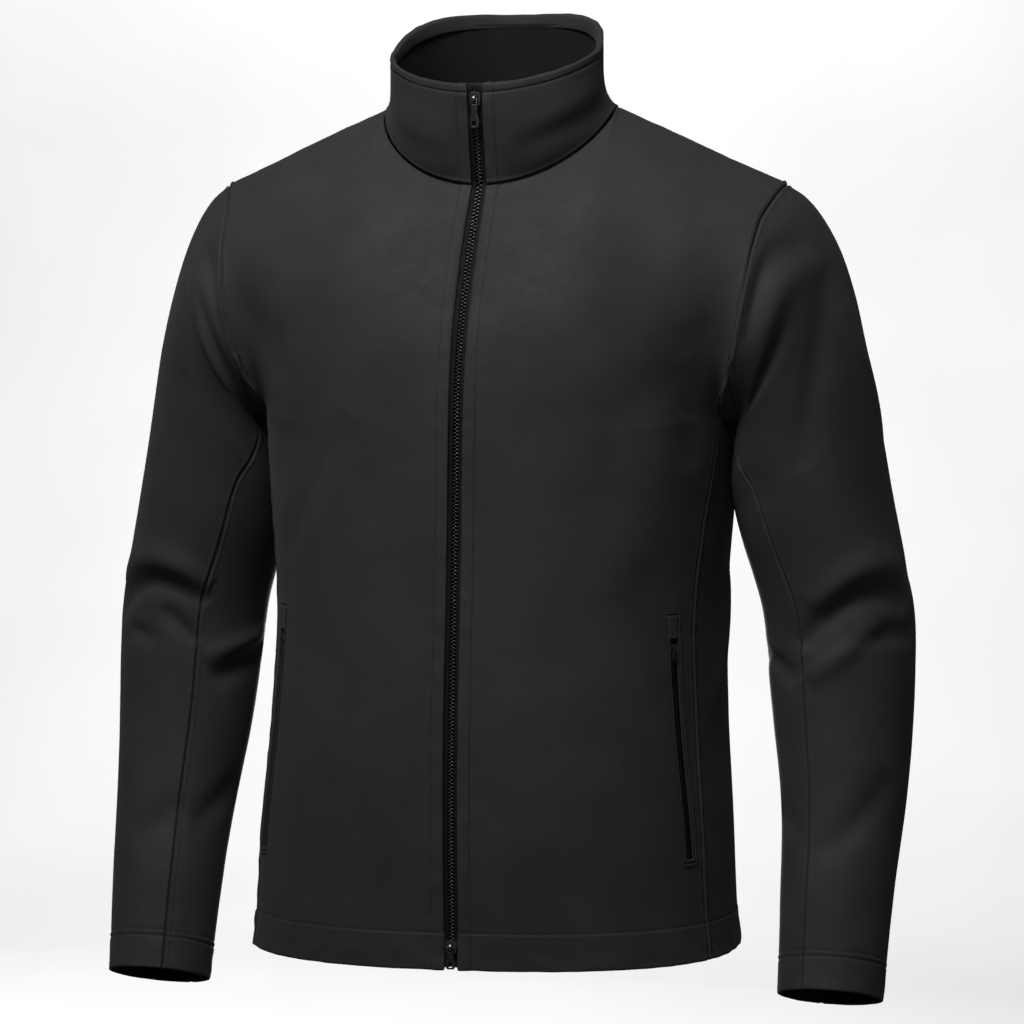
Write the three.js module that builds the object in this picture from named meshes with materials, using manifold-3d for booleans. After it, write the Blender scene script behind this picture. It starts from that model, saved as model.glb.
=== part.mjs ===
// Softshell jacket, men's medium, filled out as worn, with nobody in it.
// Millimetres. +X is the wearer's left, the front faces -Y, +Z is up.
// The origin is the centre of the neck, level with the high points of the shoulders.
//
// The whole garment is first laid out as one skin of grid points: the torso round the body, the two
// sleeves from the armhole rings down, and the collar up from the neckline. Each cut piece takes its
// own cells of that skin, gives them the cloth's thickness and keeps a seam's gap to its neighbours.

import * as THREE from "three";
import Module from "manifold-3d";

const wasm = await Module();
wasm.setup();

// Driving dimensions

const WALL = 2.0; // bonded softshell cloth
const SEAM_INSET = 0.2; // each edge is drawn back by this, which leaves about 0.3 at a seam
const LINER_WALL = 1.4; // inner collar and chin guard
const LAYER_GAP = 0.3; // between a piece and what lies behind or on it

const FRONT_EDGE = 6.5; // from the centre line to the edge of each front, so the zip shows 13 wide
const HEM_Z = -664;
const CHEST_Z = -246; // top of the closed tube of the body, level with the armpits
const NECK_HALF = 94.5; // centre line to the high point of the shoulder
const SHOULDER_TIP = { x: 229, y: 10, z: -61 };
const SLEEVE_LENGTH = 640; // armhole ring to cuff, along the table below
const RIGHT_SLEEVE_DROP = 9; // the wearer's right cuff hangs this much lower

// Cells of the skin

const BODY_ROWS = 13; // hem to chest
const YOKE_ROWS = 10; // chest to shoulder, and so also half an armhole
const NECK_CELLS = 6; // front neckline, one side
const SHOULDER_CELLS = 6; // shoulder seam
const UNDERARM_CELLS = 6; // armhole below the sleeve
const BACK_NECK_CELLS = 5; // back neckline, one side
const COLLAR_ROWS = 4;
const SLEEVE_ROWS = 28;
const FRONT_CELLS = NECK_CELLS + SHOULDER_CELLS;
const BACK_CELLS = SHOULDER_CELLS + BACK_NECK_CELLS;
const HALF_CELLS = FRONT_CELLS + UNDERARM_CELLS + BACK_CELLS;

const DEG = Math.PI / 180;

// Sections of the body tube, from the hem up. z is the height at the sides, front_up and back_up
// lift the row at its middle, half is the half width, front, wide and back are where the front, the
// widest line and the back lie in Y, seam is the angle of the forward side seam, and tilt lifts the
// wearer's left.
const BODY = [
  { z: -664, front_up: 2, back_up: -4, half: 196.5, front: -154, wide: -12, back: 127, seam: 68.5, tilt: 3 },
  { z: -636, front_up: 2, back_up: -4, half: 193.5, front: -154, wide: -10, back: 125, seam: 68.5, tilt: 3 },
  { z: -560, front_up: 2, back_up: -2, half: 189, front: -157, wide: -2, back: 123, seam: 68.5, tilt: 2 },
  { z: -480, front_up: 1, back_up: 0, half: 183, front: -155, wide: 8, back: 119, seam: 68.5, tilt: 1 },
  { z: -400, front_up: 0, back_up: 2, half: 180, front: -149, wide: 16, back: 118, seam: 67.5, tilt: 0 },
  { z: -320, front_up: -2, back_up: 4, half: 185, front: -143, wide: 20, back: 123, seam: 69, tilt: 0 },
  { z: -262, front_up: -4, back_up: 6, half: 188.5, front: -140, wide: 20, back: 128, seam: 70.5, tilt: 0 },
  { z: -246, front_up: -4, back_up: 6, half: 189, front: -139, wide: 19, back: 129, seam: 75, tilt: 0 },
];
const BODY_SQUARENESS = 2.3; // 2 is an ellipse, more is boxier
const BACK_CORNER = 109; // angle at which the back's armhole edge begins
const CORNER_BLEND = 90; // height over which the body tube takes up the armhole's low corners
const START_SLOPE = 0.75; // share of the slope below that the chest starts with
const CROWN_PEAK = 27 / 4; // brings t * t * (1 - t) to 1 at its highest
const FRONT_CROWN = { x: 0, y: -3, z: 5 }; // how far the upper chest swells
const BACK_CROWN = { x: 0, y: 4, z: 6 };

// Centre front and centre back above the chest, and where the collar takes over.
const CENTRE_FRONT = [
  { z: -250, y: -139 },
  { z: -220, y: -137 },
  { z: -180, y: -128 },
  { z: -142, y: -112 },
  { z: -100, y: -90 },
  { z: -62, y: -67 },
];
const CENTRE_BACK = [
  { z: -240, y: 129 },
  { z: -185, y: 134 },
  { z: -125, y: 129 },
  { z: -65, y: 111 },
  { z: -28, y: 91 },
  { z: -8, y: 79 },
];
const NECKLINE = { y_side: 4, y_front: -67, y_back: 79, z_front: -62, z_back: -8, front_power: 1.25 };
const RIM = { half: 85, y_side: -14, y_front: -81, y_back: 77, z_front: 16, z_side: 44, z_back: 78 };

const COLLAR_FLARE = 5; // how much sooner the sides of the collar stand up than its middle
const RIM_FRONT_POWER = 1.3; // how soon the rim dips towards the front
const RIM_BACK_POWER = 1.6; // and how soon it levels off after climbing to the back

// The collar's lining: share of the first cell that the zip tapes take, and the rises it runs between.
const LINING = { start: 0.27, bottom: 0.03, top: 0.9 };

// The main zip lies behind the front edges, on the line that they follow.
// near and far are from the centre line, drop keeps the tape off the cloth, and front and back are
// depths behind the cloth's face.
const TAPE = { near: 3.3, far: 11, wall: 0.9, drop: 0.15 };
const CHAIN = { half: 3, front: 1.4, back: 3.9, below_rim: 6 };
const CHIN_GUARD = { half: 11, depth: 4.3, height: 38 };

// Zip slider and its hanging pull, before scaling for the pockets.
const SLIDER = {
  half: 4.7, foot: 3.8, crown: 2.8, length: 10, plate: 1.5, low: 1.5, high: 4,
  skirt: 1, skirt_inset: 0.65, skirt_length: 5, skirt_reach: 0.7, skirt_up: 1,
};
const BRIDGE = { hole: 2.6, rise: 2.5, bar: 1.1, width: 2, sunk: 0.4, bevel: 0.8 };
const PULL = {
  wall: 1.2, neck: 2.5, waist: 2.3, foot: 3.9, toe: 2.3,
  eye_half: 1.35, eye: 3.9, window_half: 1.5, window: 4,
};
const PULL_SHARES = { waist: 0.45, hip: 0.72, toe: 0.9, window: 0.92 }; // of its length, down from the pivot
const TOP_SLIDER = { below_rim: 12, pull: 22.5 };
const BOTTOM_SLIDER = { above_hem: 17, pull: 17 };

// Hand pockets, as lines on the body beside the side seams: angles from centre front at the two ends.
const POCKET = { z_top: -411, z_bottom: -585, angle_top: 59, angle_bottom: 62.8, half: 5, cut: 6, steps: 7 };
const POCKET_RADIUS = 165; // of the body's curve there, which turns widths into angles
const WELT = { half: 7.6, wall: 0.8, above: 20, below: 4 };
const POCKET_TAPE = { half: 8.5, beyond: 6, front: 3.1 };
const POCKET_CHAIN = { half: 2.2, front: 1.4, back: 2.8 };
const POCKET_SLIDER = { scale: 0.68, below_top: 8, pull: 11 };

// The armhole of the wearer's left: from the shoulder tip down the front, under the arm, up the back.
const ARMHOLE = [
  { x: 229, y: 10, z: -61 },
  { x: 218, y: -32, z: -85 },
  { x: 215, y: -50, z: -102 },
  { x: 212, y: -64, z: -124 },
  { x: 209, y: -72, z: -147 },
  { x: 205, y: -74, z: -170 },
  { x: 200, y: -70, z: -192 },
  { x: 193, y: -59, z: -215 },
  { x: 184, y: -32, z: -240 },
  { x: 189, y: 12, z: -252 },
  { x: 189, y: 52, z: -240 },
  { x: 192, y: 78, z: -207 },
  { x: 199, y: 86, z: -170 },
  { x: 207, y: 82, z: -135 },
  { x: 215, y: 64, z: -105 },
  { x: 223, y: 38, z: -78 },
];
const ARMHOLE_MIDDLE = { y: 5, z: -155, deep: 75, tall: 95 };
const FRONT_CORNER_TURN = 150; // where the side seam meets the armhole, turned from the shoulder tip
const BACK_CORNER_TURN = 222;
const FRONT_TURNS = [150, 138, 126, 114, 99, 84, 68, 51, 34, 17, 0];
const BACK_TURNS = [222, 236, 250, 264, 278, 292, 306, 320, 334, 347, 360];
const FRONT_SEAM_TURN = 114; // sleeve seams, on rings of those turns
const BACK_SEAM_TURN = 250;

// Rings of the sleeve by distance s down the arm: the outermost and innermost points, the middle and
// half depth front to back, and how far the ring leans up at the front as the forearm swings forward.
const SLEEVE = [
  { s: 0, x_out: 229, z_out: -61, x_in: 189, z_in: -252, y: 6, deep: 75, lean: 0 },
  { s: 16, x_out: 244, z_out: -72, x_in: 199, z_in: -253, y: 11, deep: 76, lean: 0 },
  { s: 34, x_out: 257, z_out: -89, x_in: 201, z_in: -257, y: 16, deep: 77, lean: 0 },
  { s: 60, x_out: 269.5, z_out: -114, x_in: 195, z_in: -267, y: 21, deep: 77, lean: 0 },
  { s: 92, x_out: 279.5, z_out: -146, x_in: 188, z_in: -283, y: 25, deep: 76, lean: 0 },
  { s: 130, x_out: 287.5, z_out: -185, x_in: 184, z_in: -303, y: 28, deep: 75, lean: 0 },
  { s: 175, x_out: 296, z_out: -229, x_in: 187, z_in: -324, y: 31, deep: 73, lean: 0 },
  { s: 220, x_out: 304, z_out: -272, x_in: 193, z_in: -347, y: 33, deep: 71, lean: 0 },
  { s: 262, x_out: 312, z_out: -314, x_in: 201, z_in: -371, y: 35, deep: 68, lean: 1 },
  { s: 302, x_out: 320.5, z_out: -356, x_in: 208, z_in: -395, y: 36, deep: 65, lean: 2 },
  { s: 340, x_out: 328, z_out: -396, x_in: 211.5, z_in: -418, y: 36, deep: 62, lean: 4 },
  { s: 380, x_out: 329.5, z_out: -437, x_in: 214, z_in: -446, y: 33, deep: 60, lean: 8 },
  { s: 430, x_out: 328.5, z_out: -488, x_in: 219, z_in: -490, y: 26, deep: 57, lean: 12 },
  { s: 500, x_out: 325.5, z_out: -556, x_in: 228, z_in: -556, y: 8, deep: 52, lean: 16 },
  { s: 575, x_out: 320, z_out: -630, x_in: 233, z_in: -630, y: -20, deep: 48, lean: 19 },
  { s: 640, x_out: 316.5, z_out: -692, x_in: 235.5, z_in: -692, y: -41, deep: 45, lean: 19 },
];
// How far the front seam swings in under the arm, in degrees, and the turns between which points follow it.
const SEAM_SWING = [
  { s: 0, swing: 0 }, { s: 8, swing: 17 }, { s: 28, swing: 33 }, { s: 60, swing: 34 }, { s: 100, swing: 25 },
  { s: 167, swing: 9 }, { s: 262, swing: 4 }, { s: 320, swing: 0 }, { s: 640, swing: 0 },
];
const SWING_FIRST = 34;
const SWING_LAST = 236;
const ARMHOLE_FADE = 150; // distance down the arm over which the armhole's own shape dies out
const SLEEVE_CLEAR = 3; // the sleeve's inside stays this far off the body
const CLEAR_RATE = 0.15; // and gets there by this much for each millimetre down the arm
const SLEEVE_SPREAD = 0.04; // how much closer the rings lie at the shoulder, elbow and cuff

// Folds of the cloth as it hangs. Each runs from one place by a second to a third, all in degrees round
// and millimetres along: turned from the shoulder tip and down the arm on a sleeve, turned from centre
// front and in height on the body. A positive depth is a ridge, and at its width it is a third as high.
const SLEEVE_FOLDS = {
  left: [
    { from: [30, 38], by: [66, 14], to: [106, 10], depth: -4.2, width: 9 },
    { from: [24, 62], by: [62, 38], to: [102, 30], depth: 2.5, width: 12 },
    { from: [74, 66], by: [100, 61], to: [128, 52], depth: -4.5, width: 11 },
    { from: [20, 60], by: [52, 108], to: [84, 190], depth: -3, width: 15 },
    { from: [18, 92], by: [8, 150], to: [-14, 205], depth: 2, width: 14 },
    { from: [14, 312], by: [56, 299], to: [100, 322], depth: 4, width: 13 },
    { from: [18, 337], by: [68, 321], to: [112, 362], depth: -5.5, width: 11 },
    { from: [48, 345], by: [80, 371], to: [108, 396], depth: 3.5, width: 10 },
    { from: [8, 360], by: [42, 356], to: [72, 366], depth: -3.4, width: 9 },
    { from: [176, 360], by: [142, 376], to: [118, 396], depth: -4, width: 10 },
    { from: [34, 470], by: [68, 514], to: [114, 546], depth: -3, width: 13 },
    { from: [164, 498], by: [145, 510], to: [126, 522], depth: -3, width: 9 },
    { from: [330, 40], by: [296, 62], to: [262, 58], depth: -4, width: 13 },
    { from: [318, 110], by: [286, 128], to: [248, 118], depth: -3, width: 15 },
    { from: [352, 300], by: [318, 312], to: [284, 300], depth: -3, width: 14 },
    { from: [300, 372], by: [262, 356], to: [222, 366], depth: -4, width: 12 },
    { from: [322, 470], by: [290, 500], to: [256, 520], depth: -3, width: 14 },
  ],
  right: [
    { from: [50, 22], by: [78, 9], to: [104, 7], depth: -4.5, width: 8 },
    { from: [76, 34], by: [104, 23], to: [130, 20], depth: -4, width: 8 },
    { from: [52, 46], by: [88, 38], to: [126, 40], depth: 2.5, width: 10 },
    { from: [32, 66], by: [56, 84], to: [72, 114], depth: 2, width: 15 },
    { from: [132, 10], by: [168, 46], to: [182, 116], depth: -3.5, width: 13 },
    { from: [26, 326], by: [70, 294], to: [120, 298], depth: 4, width: 13 },
    { from: [28, 356], by: [70, 314], to: [118, 322], depth: -5.5, width: 11 },
    { from: [44, 366], by: [60, 366], to: [80, 372], depth: -3, width: 8 },
    { from: [84, 334], by: [98, 350], to: [114, 368], depth: -3, width: 8 },
    { from: [128, 406], by: [156, 385], to: [194, 366], depth: -4.5, width: 11 },
    { from: [120, 386], by: [148, 364], to: [188, 344], depth: 3, width: 10 },
    { from: [182, 484], by: [154, 506], to: [128, 530], depth: -3, width: 12 },
    { from: [64, 541], by: [94, 526], to: [120, 509], depth: -3, width: 13 },
    { from: [326, 34], by: [292, 56], to: [258, 66], depth: -4, width: 13 },
    { from: [330, 128], by: [292, 116], to: [254, 132], depth: -3, width: 15 },
    { from: [346, 318], by: [310, 306], to: [276, 314], depth: -3.5, width: 14 },
    { from: [294, 352], by: [258, 372], to: [216, 380], depth: -4, width: 12 },
    { from: [318, 520], by: [284, 496], to: [250, 480], depth: -3, width: 14 },
  ],
};
const BODY_FOLDS = [
  { from: [-36, -226], by: [-46, -276], to: [-60, -332], depth: 2.5, width: 22 },
  { from: [-26, -232], by: [-39, -312], to: [-55, -402], depth: 2.5, width: 24 },
  { from: [-31, -240], by: [-42, -290], to: [-58, -362], depth: -2.5, width: 14 },
  { from: [-72, -150], by: [-63, -176], to: [-57, -214], depth: -3, width: 16 },
  { from: [72, -146], by: [57, -200], to: [40, -250], depth: -2.5, width: 20 },
  { from: [60, -200], by: [63, -236], to: [66, -280], depth: -3, width: 16 },
  { from: [62, -236], by: [52, -300], to: [44, -380], depth: 2.5, width: 26 },
  { from: [100, -372], by: [92, -410], to: [76, -476], depth: 3, width: 14 },
  { from: [-104, -356], by: [-92, -420], to: [-80, -480], depth: 3, width: 16 },
  { from: [134, -190], by: [156, -216], to: [176, -222], depth: -3, width: 22 },
  { from: [226, -184], by: [204, -208], to: [186, -216], depth: -3, width: 22 },
  { from: [138, -300], by: [152, -380], to: [162, -470], depth: -4, width: 24 },
  { from: [220, -310], by: [208, -400], to: [200, -500], depth: -4, width: 26 },
  { from: [118, -420], by: [142, -452], to: [172, -462], depth: 3, width: 22 },
  { from: [242, -440], by: [222, -462], to: [190, -458], depth: 3, width: 20 },
];
const FOLD_STEPS = 12;
const SLEEVE_DEGREE = 1.1; // millimetres round a sleeve for one degree
const BODY_DEGREE = 3; // and round the body
const BODY_AXIS_Y = 15; // the body's folds turn about this depth
const FOLD_FADE = 12; // they die out over this from the armhole down the sleeve
const FOLD_CELLS = 2; // and over so many cells from the front edge, the armhole and the neckline
// The cloth lies flat round the pockets, between these turns and heights.
const POCKET_CLEAR = { first: 53, last: 69, low: -602, high: -372, fade: 30 };

// Small helpers

const lerp = (a, b, t) => a + (b - a) * t;
const clamp = (x, low, high) => Math.min(Math.max(x, low), high);
const ease = (x) => x * x * (3 - 2 * x);
const point = (x, y, z) => new THREE.Vector3(x, y, z);
const signedPower = (x, power) => Math.sign(x) * Math.abs(x) ** power;

/** Smooth value of one column of a table at x: cubic pieces with the slope of the neighbouring rows. */
function smooth(table, key, x, column) {
  const last = table.length - 1;
  const slope = (i) => {
    const a = table[Math.max(i - 1, 0)];
    const b = table[Math.min(i + 1, last)];
    return (b[column] - a[column]) / (b[key] - a[key]);
  };
  let i = 0;
  while (i < last - 1 && x > table[i + 1][key]) i += 1;
  const span = table[i + 1][key] - table[i][key];
  const t = clamp((x - table[i][key]) / span, 0, 1);
  const bend = span * (slope(i) * t * (1 - t) ** 2 - slope(i + 1) * t * t * (1 - t));
  return lerp(table[i][column], table[i + 1][column], ease(t)) + bend;
}

// The torso

/** Point of the body tube at an angle from centre front (wearer's left positive) and a side height. */
function bodyPoint(angle, z) {
  const row = (column) => smooth(BODY, "z", z, column);
  const power = 2 / BODY_SQUARENESS;
  const along = Math.sin(angle);
  const across = Math.cos(angle);
  const reach = across > 0 ? row("wide") - row("front") : row("back") - row("wide");
  const rise = across > 0 ? row("front_up") : row("back_up");
  return point(
    row("half") * signedPower(along, power),
    row("wide") - reach * signedPower(across, power),
    z + rise * across ** 2 + row("tilt") * along,
  );
}

/** Angle at which the body tube stands a given distance beside the centre line, at a side height. */
function angleBeside(x, z) {
  return Math.asin((x / smooth(BODY, "z", z, "half")) ** (BODY_SQUARENESS / 2));
}

/** The wearer's-left armhole at a turn in degrees from the shoulder tip, front first. */
const armholeTable = (() => {
  const rows = ARMHOLE.map((p) => {
    const { y, z, deep, tall } = ARMHOLE_MIDDLE;
    const turn = Math.atan2(-(p.y - y) / deep, (p.z - z) / tall) / DEG;
    return { ...p, turn: (turn + 360) % 360 };
  });
  rows[0].turn = 0;
  const before = rows.slice(-2).map((row) => ({ ...row, turn: row.turn - 360 }));
  const after = rows.slice(0, 3).map((row) => ({ ...row, turn: row.turn + 360 }));
  return [...before, ...rows, ...after];
})();

function armholePoint(turn) {
  const row = (column) => smooth(armholeTable, "turn", turn, column);
  return point(row("x"), row("y"), row("z"));
}

/** Neckline seam at an angle from centre front. */
function neckPoint(angle) {
  const along = Math.sin(angle);
  const across = Math.cos(angle);
  if (across > 0) {
    const y = lerp(NECKLINE.y_side, NECKLINE.y_front, across);
    return point(NECK_HALF * along, y, NECKLINE.z_front * across ** NECKLINE.front_power);
  }
  const y = lerp(NECKLINE.y_side, NECKLINE.y_back, -across);
  return point(NECK_HALF * along, y, NECKLINE.z_back * across ** 2);
}

/** Angle of one step of the neckline, counted from a front edge: front cells, then back cells. */
function neckAngle(step) {
  const start = Math.asin(FRONT_EDGE / NECK_HALF);
  const quarter = Math.PI / 2;
  if (step <= NECK_CELLS) return lerp(start, quarter, step / NECK_CELLS);
  return quarter + (quarter * (step - NECK_CELLS)) / BACK_NECK_CELLS;
}

/** Shoulder seam from the neck (0) to the tip (1). */
function shoulderPoint(t) {
  const neck = neckPoint(Math.PI / 2);
  return neck.lerp(point(SHOULDER_TIP.x, SHOULDER_TIP.y, SHOULDER_TIP.z), t);
}

/** Rows of the body tube below the chest for one side, front edge to centre back. */
function bodyRows() {
  const grid = [];
  for (let i = 0; i <= BODY_ROWS; i += 1) {
    const z = lerp(HEM_Z, CHEST_Z, i / BODY_ROWS);
    const nearArm = ease(clamp(1 - (CHEST_Z - z) / CORNER_BLEND, 0, 1));
    const start = angleBeside(FRONT_EDGE, z);
    const seam = smooth(BODY, "z", z, "seam") * DEG;
    const corner = BACK_CORNER * DEG;
    const row = [];
    for (let j = 0; j <= HALF_CELLS; j += 1) {
      let angle;
      let turn;
      let weight;
      if (j <= FRONT_CELLS) {
        angle = lerp(start, seam, j / FRONT_CELLS);
        turn = FRONT_CORNER_TURN;
        weight = (j / FRONT_CELLS) ** 3;
      } else if (j <= FRONT_CELLS + UNDERARM_CELLS) {
        const t = (j - FRONT_CELLS) / UNDERARM_CELLS;
        angle = lerp(seam, corner, t);
        turn = lerp(FRONT_CORNER_TURN, BACK_CORNER_TURN, t);
        weight = 1;
      } else {
        const t = (j - FRONT_CELLS - UNDERARM_CELLS) / BACK_CELLS;
        angle = lerp(corner, Math.PI, t);
        turn = BACK_CORNER_TURN;
        weight = (1 - t) ** 3;
      }
      const edge = j <= FRONT_CELLS ? seam : j <= FRONT_CELLS + UNDERARM_CELLS ? angle : corner;
      const toArmhole = armholePoint(turn).sub(bodyPoint(edge, CHEST_Z));
      row.push(bodyPoint(angle, z).addScaledVector(toArmhole, weight * nearArm));
    }
    grid.push(row);
  }
  return grid;
}

/** Patch between four edges: bottom and top rows, left and right columns, with a start slope and a crown. */
function yokePatch(bottom, below, top, left, right, crown) {
  const rows = left.length - 1;
  const cells = bottom.length - 1;
  const lean = (edge, k) => {
    const start = edge[1].clone().sub(edge[0]).multiplyScalar(rows);
    return start.sub(top[k].clone().sub(bottom[k]));
  };
  const leftLean = lean(left, 0);
  const rightLean = lean(right, cells);
  const grid = [];
  for (let i = 0; i <= rows; i += 1) {
    const t = i / rows;
    const row = [];
    for (let j = 0; j <= cells; j += 1) {
      const s = j / cells;
      const p = point(0, 0, 0);
      p.addScaledVector(bottom[j], 1 - t).addScaledVector(top[j], t);
      p.addScaledVector(left[i], 1 - s).addScaledVector(right[i], s);
      p.addScaledVector(bottom[0], -(1 - s) * (1 - t)).addScaledVector(bottom[cells], -s * (1 - t));
      p.addScaledVector(top[0], -(1 - s) * t).addScaledVector(top[cells], -s * t);
      const middle = Math.sqrt(4 * s * (1 - s));
      const wanted = bottom[j].clone().sub(below[j]).multiplyScalar(rows * START_SLOPE);
      const slope = top[j].clone().sub(bottom[j]);
      slope.addScaledVector(leftLean, 1 - s).addScaledVector(rightLean, s);
      p.addScaledVector(wanted.sub(slope), t * (1 - t) ** 2 * middle);
      p.addScaledVector(crown, CROWN_PEAK * t * t * (1 - t) * middle);
      row.push(p);
    }
    grid.push(row);
  }
  return grid;
}

/** Half the torso's skin, from the front edge to centre back; cells above the armhole's floor are empty. */
function torsoHalf() {
  const grid = bodyRows();
  const chest = grid[BODY_ROWS];
  const below = grid[BODY_ROWS - 1];
  const corner = FRONT_CELLS + UNDERARM_CELLS;

  const frontTop = [];
  for (let j = 0; j <= NECK_CELLS; j += 1) frontTop.push(neckPoint(neckAngle(j)));
  for (let j = 1; j <= SHOULDER_CELLS; j += 1) frontTop.push(shoulderPoint(j / SHOULDER_CELLS));
  const backTop = [];
  for (let j = SHOULDER_CELLS; j > 0; j -= 1) backTop.push(shoulderPoint(j / SHOULDER_CELLS));
  for (let j = 0; j <= BACK_NECK_CELLS; j += 1) backTop.push(neckPoint(neckAngle(NECK_CELLS + j)));

  const frontLine = [];
  const backLine = [];
  for (let i = 0; i <= YOKE_ROWS; i += 1) {
    const t = i / YOKE_ROWS;
    const front = lerp(chest[0].z, frontTop[0].z, t);
    frontLine.push(point(FRONT_EDGE, smooth(CENTRE_FRONT, "z", front, "y"), front));
    const back = lerp(chest[HALF_CELLS].z, backTop[BACK_CELLS].z, t);
    backLine.push(point(0, smooth(CENTRE_BACK, "z", back, "y"), back));
  }
  frontLine[0].copy(chest[0]);
  frontLine[YOKE_ROWS].copy(frontTop[0]);
  backLine[0].copy(chest[HALF_CELLS]);
  backLine[YOKE_ROWS].copy(backTop[BACK_CELLS]);

  const slice = (row, from, to) => row.slice(from, to + 1);
  const front = yokePatch(
    slice(chest, 0, FRONT_CELLS), slice(below, 0, FRONT_CELLS),
    frontTop, frontLine, FRONT_TURNS.map(armholePoint), FRONT_CROWN,
  );
  const back = yokePatch(
    slice(chest, corner, HALF_CELLS), slice(below, corner, HALF_CELLS),
    backTop, BACK_TURNS.map(armholePoint), backLine, BACK_CROWN,
  );
  for (let i = 1; i <= YOKE_ROWS; i += 1) {
    const row = new Array(HALF_CELLS + 1).fill(null);
    front[i].forEach((p, j) => { row[j] = p; });
    back[i].forEach((p, j) => { row[corner + j] = p; });
    grid.push(row);
  }
  return grid;
}

// The sleeves

/** How far out the body tube stands at a depth and height, or a low number where it isn't. */
function bodyReach(y, z) {
  if (z > CHEST_Z || z < HEM_Z) return -1000;
  const row = (column) => smooth(BODY, "z", z, column);
  const reach = y < row("wide") ? row("wide") - row("front") : row("back") - row("wide");
  const ratio = Math.abs(y - row("wide")) / reach;
  if (ratio >= 1) return -1000;
  return row("half") * (1 - ratio ** BODY_SQUARENESS) ** (1 / BODY_SQUARENESS);
}

/** Ring of the sleeve before the armhole bends it: an ellipse through its outer and inner points. */
function ringPoint(s, turn) {
  const row = (column) => smooth(SLEEVE, "s", s, column);
  const angle = turn * DEG;
  const out = Math.cos(angle) / 2;
  const fore = Math.sin(angle) * row("deep");
  const lean = row("lean") * DEG;
  return point(
    (row("x_out") + row("x_in")) / 2 + out * (row("x_out") - row("x_in")),
    row("y") - fore * Math.cos(lean),
    (row("z_out") + row("z_in")) / 2 + out * (row("z_out") - row("z_in")) + fore * Math.sin(lean),
  );
}

/** A point of a sleeve kept off the body, on either side. */
function clearOfBody(p, s) {
  const clear = bodyReach(p.y, p.z) + Math.min(SLEEVE_CLEAR, s * CLEAR_RATE);
  if (s > 0 && Math.abs(p.x) < clear) p.x = Math.sign(p.x) * clear;
  return p;
}

/** Turns of the sleeve's ring: up the front of the armhole, down the back, then under the arm. */
function ringTurns() {
  const under = [];
  for (let k = 1; k < UNDERARM_CELLS; k += 1) {
    under.push(lerp(BACK_CORNER_TURN, FRONT_CORNER_TURN, k / UNDERARM_CELLS));
  }
  return [...FRONT_TURNS, ...BACK_TURNS.slice(0, -1).reverse(), ...under];
}

/** Distance down the arm of a ring: even steps, drawn together at the shoulder, elbow and cuff. */
function sleeveDistance(i) {
  const t = i / SLEEVE_ROWS;
  return SLEEVE_LENGTH * (t - SLEEVE_SPREAD * Math.sin(4 * Math.PI * t));
}

/** Turn of a ring's point, moved with the front seam where that swings in under the arm. */
function swungTurn(turn, s) {
  const reach = turn < FRONT_SEAM_TURN ? FRONT_SEAM_TURN - SWING_FIRST : SWING_LAST - FRONT_SEAM_TURN;
  const share = clamp(1 - Math.abs(turn - FRONT_SEAM_TURN) / reach, 0, 1);
  return turn + share * smooth(SEAM_SWING, "s", s, "swing");
}

/** The sleeve's skin: rings from the armhole to the cuff, each closed by repeating its first point. */
function sleeveGrid(side) {
  const turns = ringTurns();
  const drop = side < 0 ? RIGHT_SLEEVE_DROP : 0;
  const grid = [];
  for (let i = 0; i <= SLEEVE_ROWS; i += 1) {
    const s = sleeveDistance(i);
    const fade = 1 - ease(clamp(s / ARMHOLE_FADE, 0, 1));
    const row = turns.map((nominal) => {
      const turn = swungTurn(nominal, s);
      const bend = armholePoint(turn).sub(ringPoint(0, turn)).multiplyScalar(fade);
      const p = ringPoint(s, turn).add(bend);
      p.z -= (drop * s) / SLEEVE_LENGTH;
      return clearOfBody(p, s);
    });
    row.push(row[0].clone());
    grid.push(row);
  }
  return grid;
}

// The collar

/** Top rim of the collar at an angle from centre front. */
function rimPoint(angle) {
  const along = Math.sin(angle);
  const across = Math.cos(angle);
  const y_end = across > 0 ? RIM.y_front : RIM.y_back;
  const z_end = across > 0 ? RIM.z_front : RIM.z_back;
  const share = across > 0 ? across ** RIM_FRONT_POWER : 1 - (1 + across) ** RIM_BACK_POWER;
  return point(
    RIM.half * along,
    lerp(RIM.y_side, y_end, Math.abs(across)),
    lerp(RIM.z_side, z_end, share),
  );
}

/** Point of the collar: step counts from the front edge, rise runs from the neckline (0) to the rim (1). */
function collarPoint(step, rise) {
  const base = neckPoint(neckAngle(step));
  const start = Math.asin(FRONT_EDGE / RIM.half);
  const quarter = Math.PI / 2;
  const angle = step <= NECK_CELLS
    ? lerp(start, quarter, step / NECK_CELLS)
    : quarter + (quarter * (step - NECK_CELLS)) / BACK_NECK_CELLS;
  const top = rimPoint(angle);
  const flare = (1 - rise) ** (1 + COLLAR_FLARE * Math.abs(Math.sin(angle)));
  return point(lerp(top.x, base.x, flare), lerp(top.y, base.y, flare), lerp(base.z, top.z, rise));
}

function collarHalf() {
  const grid = [];
  for (let i = 0; i <= COLLAR_ROWS; i += 1) {
    const row = [];
    for (let j = 0; j <= NECK_CELLS + BACK_NECK_CELLS; j += 1) row.push(collarPoint(j, i / COLLAR_ROWS));
    grid.push(row);
  }
  return grid;
}

/** Whole grid from its left half, which is mirrored at centre back up to the right front edge. */
function mirrored(half) {
  return half.map((row) => {
    const others = row.slice(0, -1).reverse();
    return [...row, ...others.map((p) => (p ? point(-p.x, p.y, p.z) : null))];
  });
}

// The folds

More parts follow.
